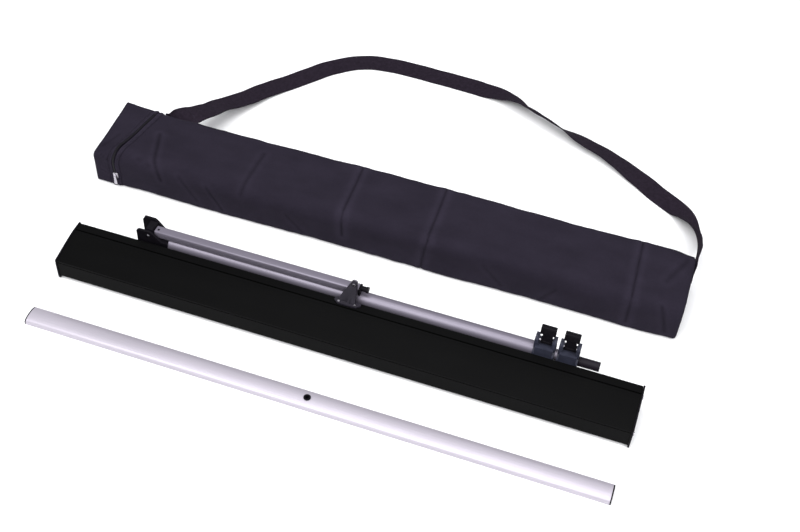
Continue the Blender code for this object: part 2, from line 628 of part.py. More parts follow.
# ---------------------------------------------------------------- long tube and its clevis
def make_clevis():
    """The knee clevis on the end of the long tube: two ears, a floor and a plug."""
    outer = EAR_INSIDE + EAR_THICKNESS
    block_left = KNEE_X + 0.0125
    block_top = LINK_BOTTOM - 0.0005
    low = TUBE_Z - TUBE_RADIUS - 0.0020
    left = KNEE_X - 0.0185
    ear = [(left + 0.0030, low), (left, low + 0.012), (left, CLEVIS_TOP - 0.0050), (left + 0.0035, CLEVIS_TOP),
           (KNEE_X + 0.0015, CLEVIS_TOP), (KNEE_X + 0.0050, CLEVIS_TOP - 0.0020),
           (KNEE_X + 0.0205, block_top), (TUBE_LEFT - GAP, block_top), (TUBE_LEFT - GAP, low)]
    clevis = prism("knee_clevis", ear, "Y", POLE_Y - outer, POLE_Y + outer, BLACK_PLASTIC)
    throat = box("knee_clevis_throat", (left - 0.01, POLE_Y - EAR_INSIDE, low + 0.0028),
                 (block_left, POLE_Y + EAR_INSIDE, CLEVIS_TOP + 0.01), None, collection=CUTTERS)
    combine(clevis, throat, "DIFFERENCE")
    above = box("knee_clevis_above", (block_left - 0.001, POLE_Y - EAR_INSIDE, block_top),
                (TUBE_LEFT + 0.01, POLE_Y + EAR_INSIDE, CLEVIS_TOP + 0.01), None, collection=CUTTERS)
    combine(clevis, above, "DIFFERENCE")
    front_room = box("knee_clevis_front_room", (left - 0.01, POLE_Y - EAR_INSIDE, low - 0.01),
                     (KNEE_X - 0.0105, POLE_Y + EAR_INSIDE, CLEVIS_TOP + 0.01), None, collection=CUTTERS)
    combine(clevis, front_room, "DIFFERENCE")
    plug = rod_x("knee_clevis_plug", TUBE_LEFT - 0.004, TUBE_LEFT + SPIGOT_LENGTH, POLE_Y, TUBE_Z,
                 TUBE_RADIUS - TUBE_WALL - GAP, None, 24, CUTTERS)
    combine(clevis, plug, "UNION")
    bore(clevis, (KNEE_X, POLE_Y, KNEE_Z), "Y", KNEE_PIN_RADIUS + GAP, 0.06, 16)
    return clevis


def make_lock(word, x0, bore_near, bore_far, step_x):
    """A flip lock: collar with rims and ears, its pin and its T-shaped lever."""
    x1 = x0 + LOCK_LENGTH
    middle = (x0 + x1) / 2
    collar = rod_x(f"{word}_collar", x0, x1, POLE_Y, TUBE_Z, LOCK_RADIUS, LOCK_PLASTIC, 28)
    for tag, low in (("a", x0), ("b", x1 - LOCK_RIM)):
        rim = rod_x(f"{word}_rim_{tag}", low, low + LOCK_RIM, POLE_Y, TUBE_Z, LOCK_RIM_RADIUS, None, 28, CUTTERS)
        combine(collar, rim, "UNION")
        ear = [(POLE_Y - 0.0092, TUBE_Z), (POLE_Y + 0.0092, TUBE_Z)]
        ear += arc((POLE_Y, TUBE_Z + LOCK_PIN_RISE), LOCK_EAR_TOP - LOCK_PIN_RISE, 0, 180, 8)
        combine(collar, prism(f"{word}_ear_{tag}", ear, "X", low, low + LOCK_RIM, None, CUTTERS), "UNION")
    bore(collar, ((x0 + step_x) / 2 - 0.005, POLE_Y, TUBE_Z), "X", bore_near + GAP, step_x - x0 + 0.010, 28)
    bore(collar, ((x1 + step_x) / 2 + 0.004, POLE_Y, TUBE_Z), "X", bore_far + GAP, x1 - step_x + 0.010, 28)
    pin_z = TUBE_Z + LOCK_PIN_RISE
    bore(collar, (middle, POLE_Y, pin_z), "X", LOCK_PIN_RADIUS + GAP, LOCK_LENGTH + 0.01, 14)
    pin = rod_x(f"{word}_pin", x0 + 0.0004, x1 - 0.0004, POLE_Y, pin_z, LOCK_PIN_RADIUS, STEEL, 14)

    half = LEVER_THICKNESS / 2
    neck = [(POLE_Y + half, pin_z), (POLE_Y + half, TUBE_Z + LEVER_TOP - 0.006),
            (POLE_Y - half, TUBE_Z + LEVER_TOP - 0.006), (POLE_Y - half, pin_z)]
    neck += arc((POLE_Y, pin_z), half * 1.25, 200, 340, 6)
    lever = prism(f"{word}_lever", neck, "X", middle - LEVER_NECK / 2, middle + LEVER_NECK / 2, BLACK_PLASTIC)
    head = box(f"{word}_lever_head", (middle - LEVER_HEAD / 2, POLE_Y - half * 1.2, TUBE_Z + LEVER_TOP - 0.0140),
               (middle + LEVER_HEAD / 2, POLE_Y + half * 1.2, TUBE_Z + LEVER_TOP), None, 0.0008, CUTTERS)
    combine(lever, head, "UNION")
    foot = box(f"{word}_lever_foot", (middle - LEVER_NECK / 2 - 0.0012, POLE_Y - half, pin_z - 0.0030),
               (middle + LEVER_NECK / 2 + 0.0012, POLE_Y + half, pin_z + 0.0030), None, 0.0, CUTTERS)
    combine(lever, foot, "UNION")
    bore(lever, (middle, POLE_Y, pin_z), "X", LOCK_PIN_RADIUS + GAP, LEVER_HEAD * 2, 14)
    hinge = pivot(f"{word}_lever_axis", (middle, POLE_Y, pin_z))
    carry(hinge, lever)
    return hinge, collar, pin


def make_pole():
    """Link, clevis, three telescopic tubes and two flip locks."""
    raise_axis = make_link()
    clevis = make_clevis()
    pin_half = EAR_INSIDE + EAR_THICKNESS + 0.0005
    knee_pin = cylinder("knee_pin", (KNEE_X, POLE_Y, KNEE_Z), "Y", KNEE_PIN_RADIUS, pin_half * 2, STEEL, 18)
    outer = tube_x("outer_tube", TUBE_LEFT, TUBE_END, POLE_Y, TUBE_Z, TUBE_RADIUS, TUBE_RADIUS - TUBE_WALL, SILVER)
    lever_1, collar_1, pin_1 = make_lock("lock_1", LOCK_1_X, TUBE_RADIUS, MID_RADIUS, TUBE_END + GAP)
    mid = tube_x("middle_tube", MID_LEFT, MID_END, POLE_Y, TUBE_Z, MID_RADIUS, MID_RADIUS - TUBE_WALL, SILVER)
    lever_2, collar_2, pin_2 = make_lock("lock_2", LOCK_2_X, MID_RADIUS, TIP_RADIUS, MID_END + GAP)
    tip = tube_x("tip_tube", TIP_LEFT, TIP_END, POLE_Y, TUBE_Z, TIP_RADIUS, TIP_RADIUS - TUBE_WALL, DARK_TUBE, 24)
    plug = rod_x("tip_plug", TIP_END - 0.012, TIP_END - 0.0002, POLE_Y, TUBE_Z,
                 TIP_RADIUS - TUBE_WALL - GAP, BLACK_PLASTIC, 20)

    knee = pivot("pole_unfold_axis", (KNEE_X, POLE_Y, KNEE_Z))
    carry(knee, clevis, knee_pin, outer, collar_1, pin_1, lever_1)
    middle_slide = pivot("middle_slide_axis", (MID_END, POLE_Y, TUBE_Z))
    carry(middle_slide, mid, collar_2, pin_2, lever_2)
    tip_slide = pivot("tip_slide_axis", (TIP_END, POLE_Y, TUBE_Z))
    carry(tip_slide, tip, plug)
    carry(middle_slide, tip_slide)
    carry(knee, middle_slide)
    carry(raise_axis, knee)


# ---------------------------------------------------------------- top rail
def rail_outline(grow=0.0):
    """Section of the rail: flat back on the floor and a crowned top."""
    rear = RAIL_REAR_Y
    front = RAIL_REAR_Y - RAIL_DEPTH
    middle = (rear + front) / 2
    half = RAIL_DEPTH / 2
    steps = 12
    crown = []
    for i in range(steps + 1):
        share = math.cos(math.pi * i / steps)
        height = RAIL_EDGE + (RAIL_HEIGHT - RAIL_EDGE) * math.sqrt(max(0.0, 1.0 - share * share)) ** 0.8
        crown.append((middle + (half - grow) * share, max(height - grow, RAIL_EDGE * 0.5)))
    return [(front + grow, grow)] + [(rear - grow, grow)] + crown


def make_rail():
    """The top rail, with its end plates and the socket for the pole's tip."""
    low = RAIL_X - RAIL_LENGTH / 2
    high = RAIL_X + RAIL_LENGTH / 2
    rail = prism("top_rail", rail_outline(), "X", low + RAIL_CAP + GAP, high - RAIL_CAP - GAP, SILVER)
    hollow = prism("top_rail_hollow", rail_outline(RAIL_WALL), "X", low - 0.01, high + 0.01, None, CUTTERS)
    combine(rail, hollow, "DIFFERENCE")
    middle_y = RAIL_REAR_Y - RAIL_DEPTH / 2
    bore(rail, (RAIL_X, middle_y, RAIL_HEIGHT), "Z", SOCKET_RADIUS, 2 * (RAIL_HEIGHT - RAIL_WALL - GAP), 20)
    left = prism("rail_end_left", rail_outline(), "X", low, low + RAIL_CAP, BLACK_PLASTIC)
    right = prism("rail_end_right", rail_outline(), "X", high - RAIL_CAP, high, BLACK_PLASTIC)

    depth = RAIL_HEIGHT - RAIL_WALL - 2 * GAP
    socket = cylinder("rail_socket", (RAIL_X, middle_y, RAIL_HEIGHT - depth / 2), "Z", SOCKET_RADIUS - GAP, depth,
                      BLACK_PLASTIC, 20)
    flange = cylinder("rail_socket_flange", (RAIL_X, middle_y, RAIL_HEIGHT + GAP + SOCKET_RIM / 2), "Z",
                      SOCKET_RADIUS + 0.0008, SOCKET_RIM, None, 20, CUTTERS)
    collar = cylinder("rail_socket_collar", (RAIL_X, middle_y, RAIL_HEIGHT), "Z", SOCKET_RADIUS - GAP, 0.002,
                      None, 20, CUTTERS)
    combine(socket, collar, "UNION")
    combine(socket, flange, "UNION")
    bore(socket, (RAIL_X, middle_y, RAIL_HEIGHT + 0.002), "Z", SOCKET_RADIUS - 0.0014, 0.013, 16)
    carry(pivot("rail_lift_axis", (RAIL_X, middle_y, 0.0)), rail, left, right, socket)


# ---------------------------------------------------------------- carry bag
def bag_ring():
    """Rounded-rectangle section of the bag, as (y, z)."""
    return rounded_box_outline(BAG_FRONT + BAG_DEPTH / 2, BAG_LIFT + BAG_HEIGHT / 2, BAG_DEPTH, BAG_HEIGHT,
                               BAG_RADIUS, 4)


def mouth_x(y):
    """Where the zip line lies: it slants to the left towards the front."""
    return BAG_MOUTH_X - MOUTH_SLANT * (BAG_REAR - y) / BAG_DEPTH


def open_sleeve(name, step, end_x):
    """A cloth sleeve with one closed end, made as an open surface with Solidify."""
    ring = bag_ring()
    middle_y = BAG_FRONT + BAG_DEPTH / 2
    middle_z = BAG_LIFT + BAG_HEIGHT / 2
    inward = END_ROUNDING if end_x < BAG_MOUTH_X else -END_ROUNDING
    bm = bmesh.new()
    mouth = [bm.verts.new((mouth_x(y) + step, y, z)) for y, z in ring]
    shoulder = [bm.verts.new((end_x + inward, y, z)) for y, z in ring]
    end = [bm.verts.new((end_x, middle_y + (y - middle_y) * 0.93, middle_z + (z - middle_z) * 0.90))
           for y, z in ring]
    for first, second in ((mouth, shoulder), (shoulder, end)):
        for i in range(len(ring)):
            j = (i + 1) % len(ring)
            bm.faces.new((first[i], first[j], second[j], second[i]))
    bm.faces.new(end)
    made = add_object(name, mesh_from(name, bm, smooth=True), FABRIC)
    made.data.flip_normals()
    skin = made.modifiers.new("Solidify", "SOLIDIFY")
    skin.thickness = BAG_WALL
    skin.offset = 1.0
    return made


def zip_path():
    """(y, z) path of the zip over the top and down the front of the bag."""
    ring = rounded_box_outline(BAG_FRONT + BAG_DEPTH / 2, BAG_LIFT + BAG_HEIGHT / 2, BAG_DEPTH + 2 * GAP,
                               BAG_HEIGHT + 2 * GAP, BAG_RADIUS + GAP, 4)
    top_rear = (BAG_REAR - BAG_RADIUS, BAG_LIFT + BAG_HEIGHT + GAP)
    front_low = (BAG_FRONT - GAP, ZIP_LOW)
    return [front_low] + ring[9:4:-1] + [top_rear]


def make_bag():
    """Bag shell, hinged end, zip with its slider and pull, and the shoulder strap."""
    shell = open_sleeve("bag_shell", 0.0, BAG_RIGHT)
    flap = open_sleeve("bag_end_flap", -GAP * 2, BAG_LEFT)
    tape = prism("bag_zip", ribbon_outline(zip_path()[::-1], ZIP_THICKNESS), "X", ZIP_INSET,
                 ZIP_INSET + ZIP_WIDTH, FABRIC)
    for corner in tape.data.vertices:
        corner.co.x += mouth_x(corner.co.y)

    width, depth, height = SLIDER_SIZE
    x = mouth_x(BAG_FRONT) + ZIP_INSET + ZIP_WIDTH / 2
    face = BAG_FRONT - GAP - ZIP_THICKNESS - GAP
    slider_low = ZIP_LOW + ZIP_INSET
    slider = box("zip_slider", (x - width / 2, face - depth, slider_low),
                 (x + width / 2, face, slider_low + height), STEEL, 0.0006)
    wide, thick, tall = PULL_SIZE
    pull_top = slider_low + height * 0.5
    pull_rear = face - depth - GAP
    pull = box("zip_pull", (x - wide / 2, pull_rear - thick, pull_top - tall),
               (x + wide / 2, pull_rear, pull_top), STEEL, 0.0004)
    strap = make_strap()

    lift = pivot("bag_lift_axis", (0.0, BAG_FRONT + BAG_DEPTH / 2, 0.0))
    hinge = pivot("bag_flap_axis", (BAG_MOUTH_X, BAG_REAR + BAG_WALL, BAG_HEIGHT / 2))
    travel = pivot("zip_slide_axis", (x, face, ZIP_LOW))
    swing = pivot("zip_pull_axis", (x, pull_rear - thick / 2, pull_top))
    carry(swing, pull)
    carry(travel, slider, swing)
    carry(hinge, flap)
    carry(lift, shell, tape, strap, hinge, travel)


def strap_route():
    """Middle line of the strap with its tilt, from the bag's rear to its right end."""
    rows = [(BAG_LEFT + along, behind, height, tilt) for along, behind, height, tilt in STRAP_FROM_LEFT]
    rows += [(BAG_RIGHT - along, behind, height, tilt) for along, behind, height, tilt in STRAP_TO_RIGHT]
    route = []
    for x, behind, height, tilt in rows:
        lowest = BAG_LIFT + STRAP_THICKNESS / 2 + STRAP_WIDTH / 2 * math.sin(math.radians(tilt))
        route.append((Vector((x, BAG_REAR + behind, max(height, lowest))), math.radians(tilt)))
    return route


def make_strap():
    """The shoulder strap: flat webbing that lies in a loop behind the bag."""
    route = strap_route()
    bm = bmesh.new()
    rings = []
    for i, (spot, tilt) in enumerate(route):
        before = route[max(i - 1, 0)][0]
        after = route[min(i + 1, len(route) - 1)][0]
        along = (after - before).normalized()
        level = Vector((along.y, -along.x, 0.0)).normalized()
        across = level * math.cos(tilt) + level.cross(along) * math.sin(tilt)
        lift = across.cross(along).normalized()
        side = across * STRAP_WIDTH / 2
        up = lift * STRAP_THICKNESS / 2
        rings.append([bm.verts.new(spot + side + up), bm.verts.new(spot - side + up),
                      bm.verts.new(spot - side - up), bm.verts.new(spot + side - up)])
    for first, second in zip(rings, rings[1:]):
        for i in range(4):
            j = (i + 1) % 4
            bm.faces.new((first[i], first[j], second[j], second[i]))
    bm.faces.new(rings[0])
    bm.faces.new(rings[-1])
    return add_object("shoulder_strap", mesh_from("shoulder_strap", bm), FABRIC)


make_extrusions()
make_end_cap("end_cap_left", -1)
make_end_cap("end_cap_right", 1)
make_cap_screws()
make_roller()
make_centre_pad()
make_foot("left", -1)
make_foot("right", 1)
make_bracket()
make_pole()
make_rail()
make_bag()
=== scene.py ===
"""Looks for the roll-up banner stand: materials, the cloth bag, its zip and its strap.

Everything is in metres in the frame's own axes: +X along the cassette, +Y towards
the pole and the bag, +Z up.
"""
import json
import math

import bmesh
import bpy
from mathutils import Matrix, Vector, noise


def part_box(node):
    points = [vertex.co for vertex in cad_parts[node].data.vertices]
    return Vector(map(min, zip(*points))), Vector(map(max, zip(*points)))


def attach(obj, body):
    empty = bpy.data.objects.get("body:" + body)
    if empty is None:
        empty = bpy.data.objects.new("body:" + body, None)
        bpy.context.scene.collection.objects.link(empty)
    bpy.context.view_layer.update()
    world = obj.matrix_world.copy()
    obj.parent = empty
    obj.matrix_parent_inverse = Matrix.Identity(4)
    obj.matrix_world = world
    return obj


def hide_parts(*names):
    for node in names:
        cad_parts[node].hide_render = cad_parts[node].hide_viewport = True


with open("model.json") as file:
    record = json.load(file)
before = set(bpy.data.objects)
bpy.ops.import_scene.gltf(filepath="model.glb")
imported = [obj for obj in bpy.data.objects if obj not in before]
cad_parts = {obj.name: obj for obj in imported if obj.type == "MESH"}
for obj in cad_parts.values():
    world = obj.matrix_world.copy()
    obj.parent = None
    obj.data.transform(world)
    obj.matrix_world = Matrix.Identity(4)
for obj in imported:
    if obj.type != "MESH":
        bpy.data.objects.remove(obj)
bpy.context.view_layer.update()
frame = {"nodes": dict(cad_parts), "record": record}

# ---------------------------------------------------------------- camera
CAMERA_PLACE = Vector((0.3619, -0.9807, 1.3029))
CAMERA_AZIMUTH = math.radians(15.94)
CAMERA_ELEVATION = math.radians(47.55)
CAMERA_ROLL = math.radians(3.80)
CAMERA_LENS = 52.78

# ---------------------------------------------------------------- cloth sizes
PAINTED_CREASE_SHADE = 420.0        # painted shade and highlight: how much darker the cloth's colour is painted in a crease, and lighter on a ridge, for each metre of depth
CLOTH = 0.0014              # thickness of the bag's cloth
HEM = 0.0090                # sewn band beside the zip
WELT_PLACE = 0.0036         # middle of the raised welt beside the zip
WELT_HALF = 0.0013
WELT_RISE = 0.0011
MOUTH_STEPS = [0.0008, 0.0016, 0.0022, 0.0028, 0.0034, 0.0040, 0.0046, 0.0054, 0.0064, 0.0074, 0.0082,
               0.0088, 0.0094, 0.0102, 0.0115, 0.0130]
FRONT_SAG = 0.0090          # how much the flap's front corner has sunk
FOLD_DEPTH = 0.0011         # of the lines where the bag was folded
FOLD_HALF = 0.0016
HEM_LIFT = 0.0007           # the hem is two layers of cloth
MOUTH_GROOVE = 0.0009       # between the two welts
INNER_SEAM = 0.0006         # between the welt and the hem's edge
HEM_SEAM = 0.0010
STITCH = 0.0024             # length of one stitch
STITCH_GAP = 0.0012
THREAD = 0.00035
TOOTH_PITCH = 0.0016
WEBBING = 0.0016            # thickness of the strap
WEAVE_STEPS = 8.0           # how often the weave repeats across the strap

# ---------------------------------------------------------------- places from the frame
SHELL_LOW, SHELL_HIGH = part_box("bag_shell")
FLAP_LOW, FLAP_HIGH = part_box("bag_end_flap")
SLIDER_LOW, SLIDER_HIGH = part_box("zip_slider")
PULL_LOW, PULL_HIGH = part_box("zip_pull")
BAG_FRONT = SHELL_LOW.y
BAG_REAR = SHELL_HIGH.y
BAG_DEPTH = BAG_REAR - BAG_FRONT
BAG_FLOOR = SHELL_LOW.z
BAG_TOP = SHELL_HIGH.z
BAG_LEFT = FLAP_LOW.x
BAG_RIGHT = SHELL_HIGH.x
MOUTH_FRONT = SHELL_LOW.x   # the mouth slants: furthest left at the front
MOUTH_REAR = FLAP_HIGH.x


# ---------------------------------------------------------------- node helpers
class Finish:
    """A Principled material with short ways to add noise, waves and bump."""

    def __init__(self, name, colour, roughness, metallic=0.0, specular=0.5):
        self.made = bpy.data.materials.new(name)
        self.made.use_nodes = True
        self.nodes = self.made.node_tree.nodes
        self.links = self.made.node_tree.links
        self.shader = self.nodes["Principled BSDF"]
        self.colour = colour
        self.set("Base Color", (*colour, 1.0))
        self.set("Roughness", roughness)
        self.set("Metallic", metallic)
        self.set("Specular IOR Level", specular)
        self.roughness = roughness
        self.height = None

    def set(self, socket, value):
        self.shader.inputs[socket].default_value = value

    def place(self, stretch=(1.0, 1.0, 1.0), source="Object"):
        """Coordinates fixed to the piece, stretched along its axes."""
        coordinates = self.nodes.new("ShaderNodeTexCoord")
        mapping = self.nodes.new("ShaderNodeMapping")
        mapping.inputs["Scale"].default_value = stretch
        self.links.new(coordinates.outputs[source], mapping.inputs["Vector"])
        return mapping.outputs["Vector"]

    def noise(self, scale, detail=3.0, stretch=(1.0, 1.0, 1.0), source="Object"):
        texture = self.nodes.new("ShaderNodeTexNoise")
        texture.inputs["Scale"].default_value = scale
        texture.inputs["Detail"].default_value = detail
        self.links.new(self.place(stretch, source), texture.inputs["Vector"])
        return texture.outputs["Fac"]

    def wave(self, scale, direction, source="Object", distortion=0.0, stretch=(1.0, 1.0, 1.0)):
        texture = self.nodes.new("ShaderNodeTexWave")
        texture.bands_direction = direction
        texture.inputs["Scale"].default_value = scale
        texture.inputs["Distortion"].default_value = distortion
        self.links.new(self.place(stretch, source), texture.inputs["Vector"])
        return texture.outputs["Fac"]

    def math(self, operation, first, second):
        step = self.nodes.new("ShaderNodeMath")
        step.operation = operation
        for socket, value in zip(step.inputs, (first, second)):
            if isinstance(value, (int, float)):
                socket.default_value = value
            else:
                self.links.new(value, socket)
        return step.outputs["Value"]

    def spread(self, factor, low, high):
        """Map 0..1 onto low..high."""
        ranged = self.nodes.new("ShaderNodeMapRange")
        ranged.inputs["From Min"].default_value = 0.25
        ranged.inputs["From Max"].default_value = 0.75
        ranged.inputs["To Min"].default_value = low
        ranged.inputs["To Max"].default_value = high
        self.links.new(factor, ranged.inputs["Value"])
        return ranged.outputs["Result"]

    def vary_roughness(self, factor, amount):
        self.links.new(self.spread(factor, self.roughness - amount, self.roughness + amount),
                       self.shader.inputs["Roughness"])

    def vary_colour(self, factor, darker, lighter):
        """Run the base colour between two multiples of itself."""
        ramp = self.nodes.new("ShaderNodeValToRGB")
        ramp.color_ramp.elements[0].position = 0.30
        ramp.color_ramp.elements[1].position = 0.70
        ramp.color_ramp.elements[0].color = (*(c * darker for c in self.colour), 1.0)
        ramp.color_ramp.elements[1].color = (*(c * lighter for c in self.colour), 1.0)
        self.links.new(factor, ramp.inputs["Fac"])
        self.links.new(ramp.outputs["Color"], self.shader.inputs["Base Color"])

    def shade_by(self, attribute):
        """Multiply the base colour by a value kept on the mesh."""
        stored = self.nodes.new("ShaderNodeAttribute")
        stored.attribute_name = attribute
        product = self.nodes.new("ShaderNodeVectorMath")
        product.operation = "MULTIPLY"
        self.links.new(self.shader.inputs["Base Color"].links[0].from_socket, product.inputs[0])
        self.links.new(stored.outputs["Color"], product.inputs[1])
        self.links.new(product.outputs["Vector"], self.shader.inputs["Base Color"])

    def bump(self, factor, depth, strength=1.0):
        """Add one layer of relief, in metres, on top of the last."""
        relief = self.nodes.new("ShaderNodeBump")
        relief.inputs["Distance"].default_value = depth
        relief.inputs["Strength"].default_value = strength
        self.links.new(factor, relief.inputs["Height"])
        if self.height is not None:
            self.links.new(self.height, relief.inputs["Normal"])
        self.height = relief.outputs["Normal"]
        self.links.new(self.height, self.shader.inputs["Normal"])


def powder_coat():
    finish = Finish("black_powder_coat", (0.0032, 0.0032, 0.0033), 0.42, 0.0, 0.02)
    finish.bump(finish.noise(1600.0, 2.0), 0.00006, 0.6)
    finish.vary_roughness(finish.noise(26.0, 4.0, (0.3, 1.0, 1.0)), 0.05)
    finish.vary_colour(finish.noise(12.0, 3.0, (0.25, 1.0, 1.0)), 0.85, 1.20)
    return finish.made


def moulded(name, colour, roughness, specular=0.45):
    """Moulded plastic with a fine spark-eroded grain."""
    finish = Finish(name, colour, roughness, 0.0, specular)
    finish.bump(finish.noise(2600.0, 2.0), 0.00005, 0.5)
    finish.vary_roughness(finish.noise(160.0, 4.0), 0.06)
    finish.vary_colour(finish.noise(70.0, 3.0), 0.82, 1.22)
    return finish.made


def drawn_metal(name, colour, roughness, metallic, lines=0.00003):
    """Anodised aluminium, with faint drawing lines along X."""
    finish = Finish(name, colour, roughness, metallic)
    streaks = finish.noise(1500.0, 3.0, (0.006, 1.0, 1.0))
    finish.bump(streaks, lines, 0.5)
    finish.vary_roughness(finish.noise(420.0, 3.0, (0.02, 1.0, 1.0)), 0.07)
    finish.vary_colour(finish.noise(22.0, 4.0, (0.15, 1.0, 1.0)), 0.93, 1.04)
    return finish.made


def painted_tube():
    finish = Finish("dark_tube_coat", (0.0115, 0.0092, 0.0135), 0.38, 0.0, 0.08)
    finish.bump(finish.noise(1900.0, 2.0), 0.00003, 0.5)
    finish.vary_roughness(finish.noise(300.0, 3.0, (0.05, 1.0, 1.0)), 0.07)
    return finish.made


def turned_steel():
    finish = Finish("bright_steel", (0.46, 0.44, 0.48), 0.26, 1.0)
    finish.vary_roughness(finish.noise(900.0, 3.0), 0.06)
    finish.bump(finish.noise(2400.0, 2.0), 0.00002, 0.4)
    return finish.made


def soft_rubber():
    finish = Finish("soft_rubber", (0.016, 0.016, 0.017), 0.82, 0.0, 0.3)
    finish.bump(finish.noise(1800.0, 4.0), 0.00012, 0.6)
    finish.vary_colour(finish.noise(300.0, 3.0), 0.8, 1.25)
    return finish.made


def banner_film():
    finish = Finish("leader_film", (0.80, 0.80, 0.80), 0.50)
    finish.bump(finish.noise(700.0, 3.0), 0.00004, 0.4)
    return finish.made


def bag_cloth(name, colour, source="UV", paint_crease_shade=False):
    """Plain-woven nylon: two crossed sets of threads, with a slubby colour."""
    finish = Finish(name, colour, 0.88, 0.0, 0.04)
    warp = finish.wave(360.0, "X", source, 0.4)
    weft = finish.wave(360.0, "Y", source, 0.4)
    finish.bump(finish.math("MULTIPLY", warp, weft), 0.00022, 0.8)
    finish.bump(finish.noise(420.0, 5.0), 0.00025, 0.5)
    mottle = finish.math("MULTIPLY", finish.noise(30.0, 5.0, (0.5, 1.0, 1.0)), 0.55)
    grain = finish.math("MULTIPLY", finish.noise(700.0, 3.0), 0.45)
    finish.vary_colour(finish.math("ADD", mottle, grain), 0.80, 1.24)
    # Painted shade and highlight: the base colour is multiplied by a value kept on the mesh, darker in
    # creases, folds and seam grooves, lighter on welts and the hem.
    if paint_crease_shade:
        finish.shade_by("crease_painted_shade")
    return finish.made


def strap_webbing():
    """Woven webbing with cross ribs and a tight herringbone."""
    finish = Finish("strap_webbing", (0.0165, 0.0122, 0.0190), 0.85, 0.0, 0.03)
    ribs = finish.wave(290.0, "Y", "UV", 0.2)
    warp = finish.wave(420.0, "X", "UV", 0.3)
    finish.bump(finish.math("MULTIPLY", ribs, warp), 0.00030, 0.9)
    finish.vary_colour(finish.noise(240.0, 4.0), 0.78, 1.25)
    return finish.made


FINISHES = {
    "black_metal": powder_coat(),
    "black_plastic": moulded("black_plastic", (0.0042, 0.0036, 0.0052), 0.50, 0.07),
    "lock_plastic": moulded("lock_plastic", (0.0240, 0.0255, 0.0400), 0.44, 0.22),
    "silver": drawn_metal("anodised_tube", (0.160, 0.145, 0.183), 0.36, 0.40),
    "rail_silver": drawn_metal("anodised_rail", (0.425, 0.396, 0.450), 0.45, 0.50),
    "dark_tube": painted_tube(),
    "rubber": soft_rubber(),
    "film": banner_film(),
    "steel": turned_steel(),
    # The bag cloth carries painted shade in its creases and painted highlight on its ridges.
    "fabric": bag_cloth("bag_cloth", (0.0165, 0.0137, 0.0218), "UV", True),
    "webbing": strap_webbing(),
}
THREAD_FINISH = bag_cloth("sewing_thread", (0.028, 0.024, 0.035), "Object")
TAPE_FINISH = bag_cloth("zip_tape", (0.0085, 0.0075, 0.0110), "Object")
BRACKET_FINISH = moulded("bracket_plastic", (0.0150, 0.0128, 0.0195), 0.45, 0.25)
COIL_FINISH = moulded("zip_coil", (0.0070, 0.0062, 0.0085), 0.42, 0.20)


def slots_of_nodes():
    return {part["node"]: part["material_slot"] for part in frame["record"]["subparts"]}


SLOTS = slots_of_nodes()


def body_of_node(node):
    return next(body for body, nodes in frame["record"]["behaviour"]["bodies"].items() if node in nodes)


def finish_nodes():
    """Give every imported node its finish."""
    for name, piece in frame["nodes"].items():
        piece.data.materials.clear()
        piece.data.materials.append(FINISHES[SLOTS[name]])


# ---------------------------------------------------------------- mesh helpers
def add_piece(name, bm, finish, body, smooth=True, angle=40.0):
    """Turn a bmesh into a piece that rides on a body."""
    bmesh.ops.recalc_face_normals(bm, faces=bm.faces[:])
    mesh = bpy.data.meshes.new(name)
    bm.to_mesh(mesh)
    bm.free()
    mesh.materials.append(finish)
    if smooth:
        mesh.shade_smooth()
        mesh.set_sharp_from_angle(angle=math.radians(angle))
    piece = bpy.data.objects.new(name, mesh)
    bpy.context.scene.collection.objects.link(piece)
    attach(piece, body)
    return piece


def refine(node, width, shape=None, segments=2, angle=28.0):
    """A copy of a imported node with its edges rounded, which stands for it; shape moves its points."""
    source = frame["nodes"][node]
    bm = bmesh.new()
    bm.from_mesh(source.data)
    bmesh.ops.remove_doubles(bm, verts=bm.verts[:], dist=0.000002)
    bmesh.ops.dissolve_limit(bm, angle_limit=math.radians(1.0), verts=bm.verts[:], edges=bm.edges[:])
    if shape is not None:
        for vertex in bm.verts:
            vertex.co = shape(vertex.co)
    slot = SLOTS[node]
    piece = add_piece(node + "_finished", bm, FINISHES[slot], body_of_node(node), True, 35.0)
    edge = piece.modifiers.new("Bevel", "BEVEL")
    edge.width = width
    edge.segments = segments
    edge.limit_method = "ANGLE"
    edge.angle_limit = math.radians(angle)
    edge.use_clamp_overlap = True
    edge.harden_normals = True
    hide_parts(node)
    return piece


def add_box(bm, centre, size, turn=None, taper=1.0):
    """A box in a bmesh, with its top smaller than its foot if taper is below 1."""
    made = bmesh.ops.create_cube(bm, size=1.0)["verts"]
    for corner in made:
        if corner.co.z > 0:
            corner.co.x *= taper
            corner.co.y *= taper
    bmesh.ops.scale(bm, vec=size, verts=made)
    if turn is not None:
        bmesh.ops.rotate(bm, cent=(0, 0, 0), matrix=turn, verts=made)
    bmesh.ops.translate(bm, vec=centre, verts=made)
    return made


def add_rod(bm, start, end, radius, sides=10, far_radius=None):
    """A round bar between two points."""
    start = Vector(start)
    end = Vector(end)
    middle = Matrix.Translation((start + end) / 2)
    turn = (end - start).to_track_quat("Z", "Y").to_matrix().to_4x4()
    bmesh.ops.create_cone(bm, cap_ends=True, segments=sides, radius1=radius,
                          radius2=radius if far_radius is None else far_radius,
                          depth=(end - start).length, matrix=middle @ turn)


def add_stitches(bm, path, lift=0.0):
    """A dashed line of thread along a path of points."""
    reach = 0.0
    step = STITCH + STITCH_GAP
    for first, second in zip(path, path[1:]):
        run = (second - first).length
        along = (second - first).normalized() if run > 0 else Vector((1, 0, 0))
        while reach < run:
            start = first + along * reach
            end = first + along * min(reach + STITCH, run)
            if (end - start).length > STITCH * 0.5:
                add_rod(bm, start, end, THREAD + lift, 6)
            reach += step
        reach -= run


